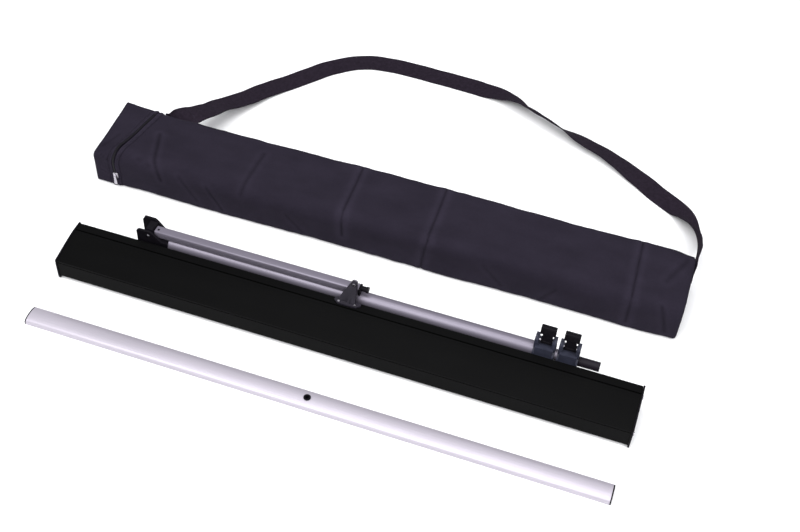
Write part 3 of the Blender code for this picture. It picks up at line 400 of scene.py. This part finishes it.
# ---------------------------------------------------------------- bag shape
def mouth_x(y):
    """Where the zip lies across the bag, which slants from its rear edge to its front."""
    share = min(1.0, max(0.0, (BAG_REAR - y) / BAG_DEPTH))
    return MOUTH_REAR + (MOUTH_FRONT - MOUTH_REAR) * share


CORNER_STEPS = 7
SIDE_STEPS = {"bottom": 22, "front": 16, "top": 34, "rear": 12}


def bag_ring(depth_scale, height, front_drop, radii):
    """Closed section of the bag as (y, z, s), where s runs forward from the top rear edge."""
    front = BAG_REAR - BAG_DEPTH * (0.5 + 0.5 * depth_scale)
    rear = BAG_REAR - BAG_DEPTH * (0.5 - 0.5 * depth_scale)
    low = BAG_FLOOR
    top = BAG_FLOOR + height
    rear_top, front_top, front_low, rear_low = radii
    corners = [((rear - rear_top, top - rear_top), rear_top, 0.0, "top"),
               ((front + front_top, top - front_top - front_drop), front_top, 90.0, "front"),
               ((front + front_low, low + front_low), front_low, 180.0, "bottom"),
               ((rear - rear_low, low + rear_low), rear_low, 270.0, "rear")]
    points = []
    for i, ((cy, cz), radius, start, side) in enumerate(corners):
        for k in range(CORNER_STEPS + 1):
            angle = math.radians(start + 90.0 * k / CORNER_STEPS)
            points.append((cy + radius * math.cos(angle), cz + radius * math.sin(angle)))
        (ny, nz), next_radius, next_start, _ = corners[(i + 1) % 4]
        angle = math.radians(next_start)
        goal = (ny + next_radius * math.cos(angle), nz + next_radius * math.sin(angle))
        last = points[-1]
        count = SIDE_STEPS[side]
        for k in range(1, count):
            share = k / count
            points.append((last[0] + (goal[0] - last[0]) * share, last[1] + (goal[1] - last[1]) * share))
    return points


def developed(y, z):
    """Distance forward over the cloth from the top rear edge: along the top, then down the front."""
    if y >= BAG_REAR - 0.004 and z < BAG_TOP - 0.004:
        return z - BAG_TOP
    return (BAG_REAR - y) + max(0.0, (BAG_TOP - z) - max(0.0, (y - BAG_FRONT) * 0.5))


# Lines over the cloth, from (x, s) to (x, s). The soft creases also give a depth and a half width.
FOLD_LINES = [(-0.0670, 0.000, -0.0625, 0.118), (-0.0625, 0.118, -0.0600, 0.160),
              (0.0680, 0.000, 0.0717, 0.122), (0.0717, 0.122, 0.0650, 0.185),
              (0.3710, 0.000, 0.3766, 0.128), (0.3766, 0.128, 0.3770, 0.175)]
SOFT_CREASES = [(-0.3910, 0.050, -0.3590, 0.150, 0.00080, 0.0025),
                (-0.2830, 0.136, -0.2570, 0.178, 0.00070, 0.0020),
                (-0.2245, 0.134, -0.2200, 0.035, 0.00055, 0.0027),
                (-0.3300, 0.128, -0.3000, 0.172, 0.00050, 0.0022),
                (-0.4030, 0.110, -0.3700, 0.128, 0.00040, 0.0020),
                (-0.1500, 0.150, -0.1250, 0.176, 0.00045, 0.0022),
                (0.1600, 0.142, 0.1900, 0.172, 0.00040, 0.0025),
                (0.2700, 0.150, 0.2500, 0.178, 0.00045, 0.0022),
                (0.4200, 0.120, 0.4330, 0.172, 0.00060, 0.0025),
                (0.4400, 0.020, 0.4180, 0.070, 0.00050, 0.0030),
                (-0.4600, 0.128, -0.4440, 0.140, 0.00070, 0.0014),
                (-0.4640, 0.160, -0.4500, 0.166, 0.00055, 0.0013),
                (-0.4660, 0.100, -0.4520, 0.070, 0.00040, 0.0025)]


def line_distance(x, s, x0, s0, x1, s1):
    """Distance from a point on the cloth to a crease."""
    along = Vector((x1 - x0, s1 - s0))
    offset = Vector((x - x0, s - s0))
    share = min(1.0, max(0.0, offset.dot(along) / along.length_squared))
    return (offset - along * share).length


def seams(x, y, z):
    """Height of the narrow features at a point: fold lines, creases and the zip's sewn edges."""
    s = developed(y, z)
    height = 0.0
    for x0, s0, x1, s1 in FOLD_LINES:
        if abs(x - (x0 + x1) / 2) < 0.03:
            away = line_distance(x, s, x0, s0, x1, s1)
            height -= FOLD_DEPTH * math.exp(-(away / FOLD_HALF) ** 2)
            height += 0.0006 * math.exp(-((away - 0.006) / 0.006) ** 2)
    for x0, s0, x1, s1, depth, half in SOFT_CREASES:
        if min(x0, x1) - 0.03 < x < max(x0, x1) + 0.03:
            away = line_distance(x, s, x0, s0, x1, s1)
            height -= depth * math.exp(-(away / half) ** 2)
            height += depth * 0.5 * math.exp(-((away - 2.6 * half) / (1.6 * half)) ** 2)
    band = abs(x - mouth_x(y))
    if band < HEM + 0.002:
        height += HEM_LIFT / (1.0 + math.exp((band - HEM) / 0.0004))
    height += WELT_RISE * math.exp(-((band - WELT_PLACE) / WELT_HALF) ** 2)
    height -= MOUTH_GROOVE * math.exp(-(band / 0.0016) ** 2)
    height -= INNER_SEAM * math.exp(-((band - HEM * 0.66) / 0.0007) ** 2)
    height -= HEM_SEAM * math.exp(-((band - HEM) / 0.0009) ** 2)
    return height


def relief(x, y, z):
    """How far the cloth stands in or out at a point, in metres."""
    s = developed(y, z)
    height = seams(x, y, z)
    height += 0.0016 * noise.noise(Vector((x * 9.0, s * 14.0, 1.7)))
    height += 0.0009 * noise.noise(Vector((x * 30.0, s * 24.0, 5.1)))
    height += 0.0004 * noise.noise(Vector((x * 80.0, s * 60.0, 9.3)))
    top_share = min(1.0, max(0.0, (z - BAG_FLOOR) / (BAG_TOP - BAG_FLOOR)))
    across = (BAG_REAR - y) / BAG_DEPTH
    sag = 0.6 + 0.5 * math.sin(x * 11.0 + 0.6)
    height -= 0.0028 * top_share * max(0.0, math.sin(math.pi * across)) * sag
    return height


def cloth_sleeve(name, stations, body, node, flip):
    """A bag part: sections joined along X, closed at its far end, with the cloth's thickness."""
    bm = bmesh.new()
    layer = bm.loops.layers.uv.new("UVMap")
    rings = []
    for station in stations:
        ring = bag_ring(*station["section"])
        count = len(ring)
        made = []
        for i, (y, z) in enumerate(ring):
            before = ring[i - 1]
            after = ring[(i + 1) % count]
            outward = Vector((after[1] - before[1], before[0] - after[0])).normalized()
            x = station["x"](y)
            push = relief(x, y, z) * station["keep"]
            spot = Vector((x, y + outward.x * push, z + outward.y * push))
            spot.z = max(spot.z, BAG_FLOOR)
            made.append(bm.verts.new(spot))
        rings.append(made)
    for first, second in zip(rings, rings[1:]):
        for i in range(len(first)):
            j = (i + 1) % len(first)
            bm.faces.new((first[i], first[j], second[j], second[i]))
    last = rings[-1]
    middle = sum((v.co for v in last), Vector()) / len(last)
    previous = last
    for share, dent in ((0.85, 0.0002), (0.6, 0.0012), (0.3, 0.0022)):
        inner = [bm.verts.new(middle + (v.co - middle) * share + Vector((-flip * dent, 0, 0))) for v in last]
        for i in range(len(last)):
            j = (i + 1) % len(last)
            bm.faces.new((previous[i], previous[j], inner[j], inner[i]))
        previous = inner
    bm.faces.new(previous)
    for face in bm.faces:
        for loop in face.loops:
            place = loop.vert.co
            loop[layer].uv = (place.x, place.y + place.z)
    piece = add_piece(name, bm, FINISHES["fabric"], body, True, 55.0)
    # Painted shade and highlight per point: darker where the narrow features sink, lighter where they rise,
    # kept on the mesh for the cloth's colour.
    shade = piece.data.attributes.new("crease_painted_shade", "FLOAT", "POINT")
    for i, vertex in enumerate(piece.data.vertices):
        shade.data[i].value = min(1.30, max(0.45, 1.0 + PAINTED_CREASE_SHADE * seams(*vertex.co)))
    skin = piece.modifiers.new("Cloth thickness", "SOLIDIFY")
    skin.thickness = CLOTH
    skin.offset = -1.0
    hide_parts(node)
    return piece


def ease(value):
    value = min(1.0, max(0.0, value))
    return value * value * (3.0 - 2.0 * value)


def make_shell():
    """The bag's body, from the zip to its right end."""
    stations = []
    count = 430
    near = MOUTH_STEPS[-1]
    length = BAG_RIGHT - MOUTH_REAR
    shares = [0.0] + [step / length for step in MOUTH_STEPS]
    shares += [share / count for share in range(1, count + 1) if share / count > near / length + 0.002]
    for share in shares:
        depth = 1.0 - 0.030 * ease((share - 0.965) / 0.035)
        height = (BAG_TOP - BAG_FLOOR) * (1.0 - 0.050 * ease((share - 0.960) / 0.040))
        softness = 0.5 + 0.5 * math.sin(share * 9.0)
        radii = (0.011 + 0.003 * softness, 0.021 + 0.004 * softness, 0.008, 0.008)
        stations.append({"section": (depth, height, 0.001 + 0.002 * softness, radii), "keep": 1.0,
                         "x": lambda y, share=share: mouth_x(y) + (BAG_RIGHT - 0.004 - mouth_x(y)) * share})
    for share, reach in ((0.965, 0.0025), (0.92, 0.0038)):
        end = stations[len(shares) - 1]["section"]
        section = (end[0] * share, end[1] * (0.5 + 0.5 * share), end[2], end[3])
        stations.append({"section": section, "keep": 0.6,
                         "x": lambda y, reach=reach: BAG_RIGHT - 0.004 + reach})
    return cloth_sleeve("bag_cloth_body", stations, "bag", "bag_shell", 1.0)


def make_flap():
    """The stiff end beyond the zip, with sharp corners and a sunken front edge."""
    stations = []
    count = 22
    places = [(step, 0.0) for step in [0.0] + MOUTH_STEPS]
    places += [(MOUTH_STEPS[-1], i / count) for i in range(1, count + 1)]
    for step, share in places:
        drop = 0.002 + FRONT_SAG * ease(0.28 * step / MOUTH_STEPS[-1] + 0.82 * share)
        round_off = 0.25 * step / MOUTH_STEPS[-1] + 0.75 * share
        radii = (0.011 - 0.007 * round_off, 0.022 - 0.015 * round_off, 0.006, 0.006)
        stations.append({"section": (1.0, BAG_TOP - BAG_FLOOR, drop, radii), "keep": 1.0,
                         "x": lambda y, step=step, share=share: mouth_x(y) - 0.0006 - step +
                         (BAG_LEFT + 0.0012 - mouth_x(y) + 0.0006 + step) * share})
    end = stations[-1]["section"]
    stations.append({"section": (0.985, end[1] - 0.0010, end[2], end[3]), "keep": 0.7,
                     "x": lambda y: BAG_LEFT + 0.0002})
    return cloth_sleeve("bag_cloth_end", stations, "bag_flap", "bag_end_flap", -1.0)


# ---------------------------------------------------------------- zip
def zip_line(offset, lift, low=None):
    """Points beside the mouth, over the top and down the front, offset along X and lifted off the cloth."""
    low = SLIDER_LOW.z - 0.010 if low is None else low
    corner = 0.0225
    top = BAG_TOP + lift
    front = BAG_FRONT - lift
    flat = [(BAG_REAR - 0.013 - (BAG_DEPTH - 0.013 - corner) * i / 40, top) for i in range(41)]
    curve = [(BAG_FRONT + corner - (corner + lift) * math.sin(a),
              BAG_TOP - corner + (corner + lift) * math.cos(a))
             for a in (math.pi / 2 * k / 12 for k in range(1, 12))]
    down = [(front, BAG_TOP - corner - (BAG_TOP - corner - low) * i / 16) for i in range(17)]
    points = []
    for y, z in flat + curve + down:
        sink = relief(mouth_x(y) + offset, y, z)
        slope = 1.0 if y > BAG_FRONT + corner else 0.0
        points.append(Vector((mouth_x(y) + offset, y - sink * (1.0 - slope), z + sink * slope)))
    return points


def ribbon(bm, left, right, thickness):
    """A thin strip between two lines of points."""
    rings = []
    for i, (a, b) in enumerate(zip(left, right)):
        before = (left[max(i - 1, 0)] + right[max(i - 1, 0)]) / 2
        after = (left[min(i + 1, len(left) - 1)] + right[min(i + 1, len(right) - 1)]) / 2
        up = (b - a).cross(after - before).normalized() * thickness / 2
        rings.append([bm.verts.new(a + up), bm.verts.new(b + up), bm.verts.new(b - up), bm.verts.new(a - up)])
    for first, second in zip(rings, rings[1:]):
        for i in range(4):
            j = (i + 1) % 4
            bm.faces.new((first[i], first[j], second[j], second[i]))
    bm.faces.new(rings[0])
    bm.faces.new(rings[-1])


def make_zip():
    """Tapes, coils and stitching on both sides of the mouth."""
    for side, body, word in ((1.0, "bag", "body"), (-1.0, "bag_flap", "end")):
        bm = bmesh.new()
        ribbon(bm, zip_line(side * 0.0003, 0.0003), zip_line(side * 0.0024, 0.0003), 0.0006)
        tape = add_piece("zip_tape_" + word, bm, TAPE_FINISH, body, True, 50.0)
        if side > 0:
            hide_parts("bag_zip")

        bm = bmesh.new()
        line = zip_line(side * 0.0009, 0.0008)
        reach = 0.0 if side > 0 else TOOTH_PITCH / 2
        for first, second in zip(line, line[1:]):
            run = (second - first).length
            along = (second - first).normalized()
            while reach < run:
                spot = first + along * reach
                across = Vector((1, 0, 0)) - along * along.x
                add_rod(bm, spot - across * side * 0.0009, spot + across * side * 0.0009, 0.00045, 6)
                reach += TOOTH_PITCH
            reach -= run
        add_piece("zip_coil_" + word, bm, COIL_FINISH, body, True, 50.0)

        bm = bmesh.new()
        add_stitches(bm, zip_line(side * 0.0062, 0.0002))
        add_stitches(bm, zip_line(side * (HEM - 0.0012), 0.0002))
        add_piece("zip_stitches_" + word, bm, THREAD_FINISH, body, True, 60.0)


def make_slider():
    """Metal slider with its bridge, and a plain pull tab with an eye."""
    x = (SLIDER_LOW.x + SLIDER_HIGH.x) / 2 - 0.0030
    face = SLIDER_HIGH.y
    middle_z = (SLIDER_LOW.z + SLIDER_HIGH.z) / 2
    bm = bmesh.new()
    add_box(bm, (x, face - 0.0009, middle_z), (0.0078, 0.0018, 0.0096), None, 0.86)
    for side in (-1, 1):
        add_box(bm, (x + side * 0.0036, face - 0.0004, middle_z), (0.0010, 0.0026, 0.0086))
    add_box(bm, (x, face - 0.0026, middle_z + 0.0012), (0.0020, 0.0016, 0.0066))
    body = add_piece("zip_slider_detail", bm, FINISHES["steel"], "zip", True, 40.0)
    body.modifiers.new("Bevel", "BEVEL").width = 0.00035
    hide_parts("zip_slider")

    top = PULL_HIGH.z
    front = PULL_LOW.y
    rear = PULL_HIGH.y
    outline = []
    for side, start in ((1, 0), (-1, 180)):
        centre = top - 0.0024 if side > 0 else PULL_LOW.z + 0.0022
        radius = 0.0020 if side > 0 else 0.0027
        for k in range(11):
            angle = math.radians(start + 18 * k)
            outline.append((x + radius * math.cos(angle), centre + radius * math.sin(angle)))
    bm = bmesh.new()
    plate = bm.faces.new([bm.verts.new((a, front, b)) for a, b in outline])
    pushed = bmesh.ops.extrude_face_region(bm, geom=[plate])["geom"]
    moved = [item for item in pushed if isinstance(item, bmesh.types.BMVert)]
    bmesh.ops.translate(bm, vec=(0, rear - front, 0), verts=moved)
    for side in (-1, 1):
        add_box(bm, (x + side * 0.0014, front - 0.0002, (top + PULL_LOW.z) / 2), (0.0006, 0.0006, 0.0070))
    eye_z = PULL_LOW.z + 0.0024
    add_rod(bm, (x, front - 0.0004, eye_z), (x, front + 0.0002, eye_z), 0.0013, 16)
    pull = add_piece("zip_pull_detail", bm, FINISHES["steel"], "zip_tab", True, 40.0)
    edge = pull.modifiers.new("Bevel", "BEVEL")
    edge.width = 0.00025
    edge.segments = 2
    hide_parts("zip_pull")


# ---------------------------------------------------------------- strap
STRAP_WIDTH = 0.0380
STRAP_FROM_LEFT = [      # along from the bag's left end, behind its rear, height, tilt in degrees
    (0.0680, 0.0016, 0.045, -90), (0.0755, 0.0035, 0.046, -84), (0.0850, 0.0115, 0.048, -45),
    (0.1010, 0.0300, 0.050, -8), (0.1120, 0.0560, 0.042, -3), (0.1190, 0.0850, 0.031, 0),
    (0.1285, 0.1130, 0.020, 0), (0.1445, 0.1480, 0.010, 0), (0.1635, 0.1850, 0.004, 0),
    (0.2055, 0.2400, 0.0, 0), (0.2425, 0.2850, 0.0, 0), (0.2865, 0.3180, 0.0, 0),
    (0.3445, 0.3310, 0.0, 0), (0.4285, 0.3300, 0.0, 0), (0.5105, 0.3260, 0.0, 0)]
STRAP_TO_RIGHT = [       # the same, but back from the bag's right end
    (0.3670, 0.3160, 0.0, 16), (0.3270, 0.2910, 0.0, 46), (0.2940, 0.2770, 0.0, 48),
    (0.2630, 0.2620, 0.0, 45), (0.2265, 0.2530, 0.0, 24), (0.1655, 0.2285, 0.0, 16),
    (0.1160, 0.2010, 0.0, 4), (0.0740, 0.1730, 0.0, 0), (0.0360, 0.1480, 0.0, 5),
    (0.0165, 0.1160, 0.011, 35), (0.0045, 0.0860, 0.019, 68), (-0.0010, 0.0580, 0.028, 88),
    (-0.0030, 0.0300, 0.038, 90), (-0.0022, 0.0100, 0.045, 90), (-0.0013, -0.0050, 0.047, 90),
    (-0.0013, -0.0240, 0.047, 90)]


def smooth_line(rows, steps):
    """A smooth curve through rows of numbers, with its own points kept."""
    made = []
    for i in range(len(rows) - 1):
        a = rows[max(i - 1, 0)]
        b = rows[i]
        c = rows[i + 1]
        d = rows[min(i + 2, len(rows) - 1)]
        for k in range(steps):
            t = k / steps
            made.append([0.5 * (2 * q + (r - p) * t + (2 * p - 5 * q + 4 * r - w) * t * t
                                + (3 * q - p - 3 * r + w) * t ** 3) for p, q, r, w in zip(a, b, c, d)])
    made.append(list(rows[-1]))
    return made


def strap_rows():
    """Smooth middle line of the strap: x, y, z and tilt in radians."""
    rows = [(BAG_LEFT + a, b, h, t) for a, b, h, t in STRAP_FROM_LEFT]
    rows += [(BAG_RIGHT - a, b, h, t) for a, b, h, t in STRAP_TO_RIGHT]
    made = []
    for x, behind, height, tilt in smooth_line(rows, 9):
        angle = math.radians(tilt)
        lowest = 0.0004 + WEBBING / 2 + STRAP_WIDTH / 2 * abs(math.sin(angle))
        made.append((Vector((x, BAG_REAR + behind, max(height, lowest))), angle))
    return made


def make_strap():
    """Woven strap: a curved ribbon with bound edges, sewn down at both ends."""
    route = strap_rows()
    frames = []
    for i, (spot, tilt) in enumerate(route):
        before = route[max(i - 1, 0)][0]
        after = route[min(i + 1, len(route) - 1)][0]
        along = (after - before).normalized()
        level = Vector((along.y, -along.x, 0.0)).normalized()
        across = level * math.cos(tilt) + level.cross(along) * math.sin(tilt)
        frames.append((spot, across.normalized(), across.cross(along).normalized()))
    bm = bmesh.new()
    layer = bm.loops.layers.uv.new("UVMap")
    rings = []
    lengths = [0.0]
    for i in range(1, len(frames)):
        lengths.append(lengths[-1] + (frames[i][0] - frames[i - 1][0]).length)
    shares = [-1.0, -0.985, -0.90, -0.45, 0.0, 0.45, 0.90, 0.985, 1.0]
    for i, (spot, across, lift) in enumerate(frames):
        ring = []
        wave = 0.0005 * math.sin(lengths[i] * 41.0) + 0.0004 * math.sin(lengths[i] * 97.0 + 1.0)
        for sign in (1.0, -1.0):
            order = shares if sign > 0 else shares[::-1][1:-1]
            for share in order:
                half = WEBBING / 2 * (1.0 if abs(share) < 0.95 else 1.18 if abs(share) < 0.99 else 0.2)
                bend = wave * share
                out = across * share * STRAP_WIDTH / 2
                ring.append(bm.verts.new(spot + out + lift * (sign * half + abs(bend))))
        rings.append(ring)
    size = len(rings[0])
    for k, (first, second) in enumerate(zip(rings, rings[1:])):
        for i in range(size):
            j = (i + 1) % size
            face = bm.faces.new((first[i], first[j], second[j], second[i]))
            for loop, (a, b) in zip(face.loops, ((i, k), (j, k), (j, k + 1), (i, k + 1))):
                loop[layer].uv = (a * STRAP_WIDTH / WEAVE_STEPS, lengths[b])
    bm.faces.new(rings[0])
    bm.faces.new(rings[-1])
    strap = add_piece("strap_webbing", bm, FINISHES["webbing"], "bag", True, 50.0)
    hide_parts("shoulder_strap")

    bm = bmesh.new()
    marks = [4, 10]
    joins = [next(i for i, (spot, _, _) in enumerate(frames) if spot.x > edge) for edge in (-0.3735, -0.3095)]
    for i in marks + joins + [len(frames) - 4, len(frames) - 12]:
        spot, across, lift = frames[i]
        for sign in (1.0, -1.0):
            line = [spot + across * share * STRAP_WIDTH * 0.46 + lift * sign * (WEBBING / 2 + 0.0002)
                    for share in (-1.0, -0.5, 0.0, 0.5, 1.0)]
            add_stitches(bm, line)
    add_piece("strap_stitches", bm, THREAD_FINISH, "bag", True, 60.0)


# ---------------------------------------------------------------- hard details
TUBE_LOW, TUBE_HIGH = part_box("outer_tube")
TUBE_MIDDLE = (TUBE_LOW + TUBE_HIGH) / 2
LOCK_SPANS = {"lock_1": (0.2660, 0.2960), "lock_2": (0.3003, 0.3295)}     # ends of each collar
LEVER_SPANS = {"lock_1": (0.2820, 0.0108), "lock_2": (0.3152, 0.0108)}    # middle and half width
EAR_FOOT = 0.0130            # above the tube's centre, where a collar's ears begin
EAR_STRETCH = 1.30
EAR_SPREAD = 1.25
EAR_WIDTH = 0.0054
EAR_TOP = 0.0288             # above the tube's centre
SADDLE_TOP = 0.0172          # flat block under the lever, above the tube's centre
TUBE_FULLER = 1.150
TUBE_RAISED = 0.0004
LINK_RAISED = 0.0013
EAR_LEVEL = 0.0600           # above this the knee's two ears differ
FRONT_EAR = 0.62
REAR_EAR = 1.28


def uneven_ears(spot):
    """The knee's front ear is lower than its rear one."""
    if spot.z <= EAR_LEVEL:
        return spot
    scale = FRONT_EAR if spot.y < TUBE_MIDDLE.y else REAR_EAR
    return Vector((spot.x, spot.y, EAR_LEVEL + (spot.z - EAR_LEVEL) * scale))


def raised_link(spot):
    return spot + Vector((0.0, 0.0, LINK_RAISED))


def fuller_tube(spot):
    """The outer tube at the thickness that the photograph shows."""
    out = spot - TUBE_MIDDLE
    return TUBE_MIDDLE + Vector((out.x, out.y * TUBE_FULLER, out.z * TUBE_FULLER + TUBE_RAISED))


def lock_spot(lock, spot):
    """Stretch a collar's length on to its span."""
    low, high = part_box(lock + "_collar")
    left, right = LOCK_SPANS[lock]
    return Vector((left + (spot.x - low.x) * (right - left) / (high.x - low.x), spot.y, spot.z))


def tall_ears(spot):
    foot = TUBE_MIDDLE.z + EAR_FOOT
    if spot.z <= foot:
        return spot
    return Vector((spot.x, TUBE_MIDDLE.y + (spot.y - TUBE_MIDDLE.y) * EAR_SPREAD,
                   foot + (spot.z - foot) * EAR_STRETCH))


def lever_spot(lock, spot):
    low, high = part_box(lock + "_lever")
    middle, reach = LEVER_SPANS[lock]
    return Vector((middle + (spot.x - (low.x + high.x) / 2) * 2 * reach / (high.x - low.x), spot.y, spot.z))


def make_hard_details():
    """Rounded edges on the small mouldings, grip ridges on the levers, pads and pin heads."""
    bracket = refine("pole_bracket", 0.0006)
    bracket.data.materials[0] = BRACKET_FINISH
    for node, width in (("link_knuckle", 0.0006), ("link_pivot_lug", 0.0004),
                        ("end_cap_left", 0.0005), ("end_cap_right", 0.0005), ("knee_pin", 0.0006),
                        ("rail_end_left", 0.0004), ("rail_end_right", 0.0004), ("rail_socket", 0.0003),
                        ("pole_pivot_pin", 0.0006), ("tip_plug", 0.0005)):
        refine(node, width)
    refine("knee_clevis", 0.0007, uneven_ears)
    refine("link_tube", 0.0003, raised_link)
    refine("link_end_fitting", 0.0005, raised_link)
    refine("outer_tube", 0.0003, fuller_tube)
    refine("lock_1_pin", 0.0003, lambda spot: lock_spot("lock_1", spot))
    refine("lock_2_pin", 0.0003, lambda spot: lock_spot("lock_2", spot))

    for lock, body in (("lock_1", "outer_pole"), ("lock_2", "middle_pole")):
        refine(lock + "_collar", 0.0006, lambda spot, lock=lock: tall_ears(lock_spot(lock, spot)))
        refine(lock + "_lever", 0.0007, lambda spot, lock=lock: lever_spot(lock, spot))
        left, right = LOCK_SPANS[lock]
        middle, reach = LEVER_SPANS[lock]
        lever_low, lever_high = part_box(lock + "_lever")

        bm = bmesh.new()
        add_box(bm, ((left + right) / 2, TUBE_MIDDLE.y, TUBE_MIDDLE.z + SADDLE_TOP - 0.0085),
                (right - left - 0.0050, 0.0232, 0.0170))
        for x in (left + EAR_WIDTH / 2, right - EAR_WIDTH / 2):
            add_box(bm, (x, TUBE_MIDDLE.y, TUBE_MIDDLE.z + EAR_TOP - 0.0100), (EAR_WIDTH, 0.0150, 0.0200))
        add_piece(lock + "_saddle", bm, FINISHES["lock_plastic"], body, True, 40.0)

        bm = bmesh.new()
        add_box(bm, (middle, TUBE_MIDDLE.y - 0.0028, TUBE_MIDDLE.z + 0.0232), (0.0156, 0.0032, 0.0046))
        bar = add_piece(lock + "_base_bar", bm, FINISHES["black_plastic"], lock, True, 40.0)
        bar.modifiers.new("Bevel", "BEVEL").width = 0.0005

        bm = bmesh.new()
        count = 9
        for i in range(count):
            x = middle - reach + 0.0020 + (2 * reach - 0.0040) * i / (count - 1)
            add_box(bm, (x, (lever_low.y + lever_high.y) / 2, lever_high.z),
                    (0.0011, lever_high.y - lever_low.y - 0.0010, 0.0010), None, 0.6)
        for k in range(4):
            z = lever_high.z - 0.0028 - 0.0026 * k
            add_box(bm, (middle, lever_low.y, z), (2 * reach - 0.0030, 0.0008, 0.0011))
        grip = add_piece(lock + "_grip_ridges", bm, FINISHES["black_plastic"], lock,
                         True, 40.0)
        grip.modifiers.new("Bevel", "BEVEL").width = 0.0002

        radius = TUBE_MIDDLE.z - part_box(lock + "_collar")[0].z - 0.0013
        bm = bmesh.new()
        for angle in (-152.0, -28.0):
            out = Vector((0.0, math.cos(math.radians(angle)), math.sin(math.radians(angle))))
            spot = Vector((left + 0.0085, TUBE_MIDDLE.y, TUBE_MIDDLE.z)) + out * (radius - 0.0002)
            add_rod(bm, spot, spot + out * 0.0008, 0.0011, 14, 0.0008)
        add_piece(lock + "_rivets", bm, FINISHES["steel"], body, True, 40.0)


# ---------------------------------------------------------------- stage
def make_stage():
    """Pale floor, soft lights and the camera."""
    floor_finish = Finish("pale_floor", (0.93, 0.93, 0.935), 0.75, 0.0, 0.2)
    floor_finish.bump(floor_finish.noise(260.0, 3.0), 0.00003, 0.2)
    bm = bmesh.new()
    bmesh.ops.create_grid(bm, x_segments=2, y_segments=2, size=6.0)
    mesh = bpy.data.meshes.new("floor")
    bm.to_mesh(mesh)
    bm.free()
    mesh.materials.append(floor_finish.made)
    floor = bpy.data.objects.new("floor", mesh)
    floor.location.z = -0.0002
    bpy.context.scene.collection.objects.link(floor)

    world = bpy.data.worlds.new("studio")
    world.use_nodes = True
    world.node_tree.nodes["Background"].inputs["Color"].default_value = (0.95, 0.96, 1.0, 1.0)
    world.node_tree.nodes["Background"].inputs["Strength"].default_value = 0.62
    bpy.context.scene.world = world
    bpy.context.scene.view_settings.view_transform = "Standard"

    for name, place, size, power in (("key", (-0.7, -1.5, 2.3), 1.8, 56.0),
                                     ("fill", (1.5, -0.9, 1.9), 1.5, 29.0),
                                     ("overhead", (0.0, 0.1, 2.6), 2.0, 38.0)):
        lamp = bpy.data.lights.new(name, "AREA")
        lamp.size = size
        lamp.energy = power
        light = bpy.data.objects.new(name, lamp)
        light.location = place
        light.rotation_euler = (Vector((0.0, 0.15, 0.0)) - Vector(place)).to_track_quat("-Z", "Y").to_euler()
        bpy.context.scene.collection.objects.link(light)

    forward = Vector((-math.sin(CAMERA_AZIMUTH) * math.cos(CAMERA_ELEVATION),
                      math.cos(CAMERA_AZIMUTH) * math.cos(CAMERA_ELEVATION), -math.sin(CAMERA_ELEVATION)))
    level = forward.cross(Vector((0, 0, 1))).normalized()
    upright = level.cross(forward)
    right = level * math.cos(CAMERA_ROLL) + upright * math.sin(CAMERA_ROLL)
    up = upright * math.cos(CAMERA_ROLL) - level * math.sin(CAMERA_ROLL)
    lens = bpy.data.cameras.new("camera")
    lens.lens = CAMERA_LENS
    lens.sensor_width = 36.0
    camera = bpy.data.objects.new("camera", lens)
    turn = Matrix((right, up, -forward)).transposed().to_4x4()
    camera.matrix_world = Matrix.Translation(CAMERA_PLACE) @ turn
    bpy.context.scene.collection.objects.link(camera)
    bpy.context.scene.camera = camera


finish_nodes()
make_stage()
make_shell()
make_flap()
make_zip()
make_slider()
make_strap()
make_hard_details()
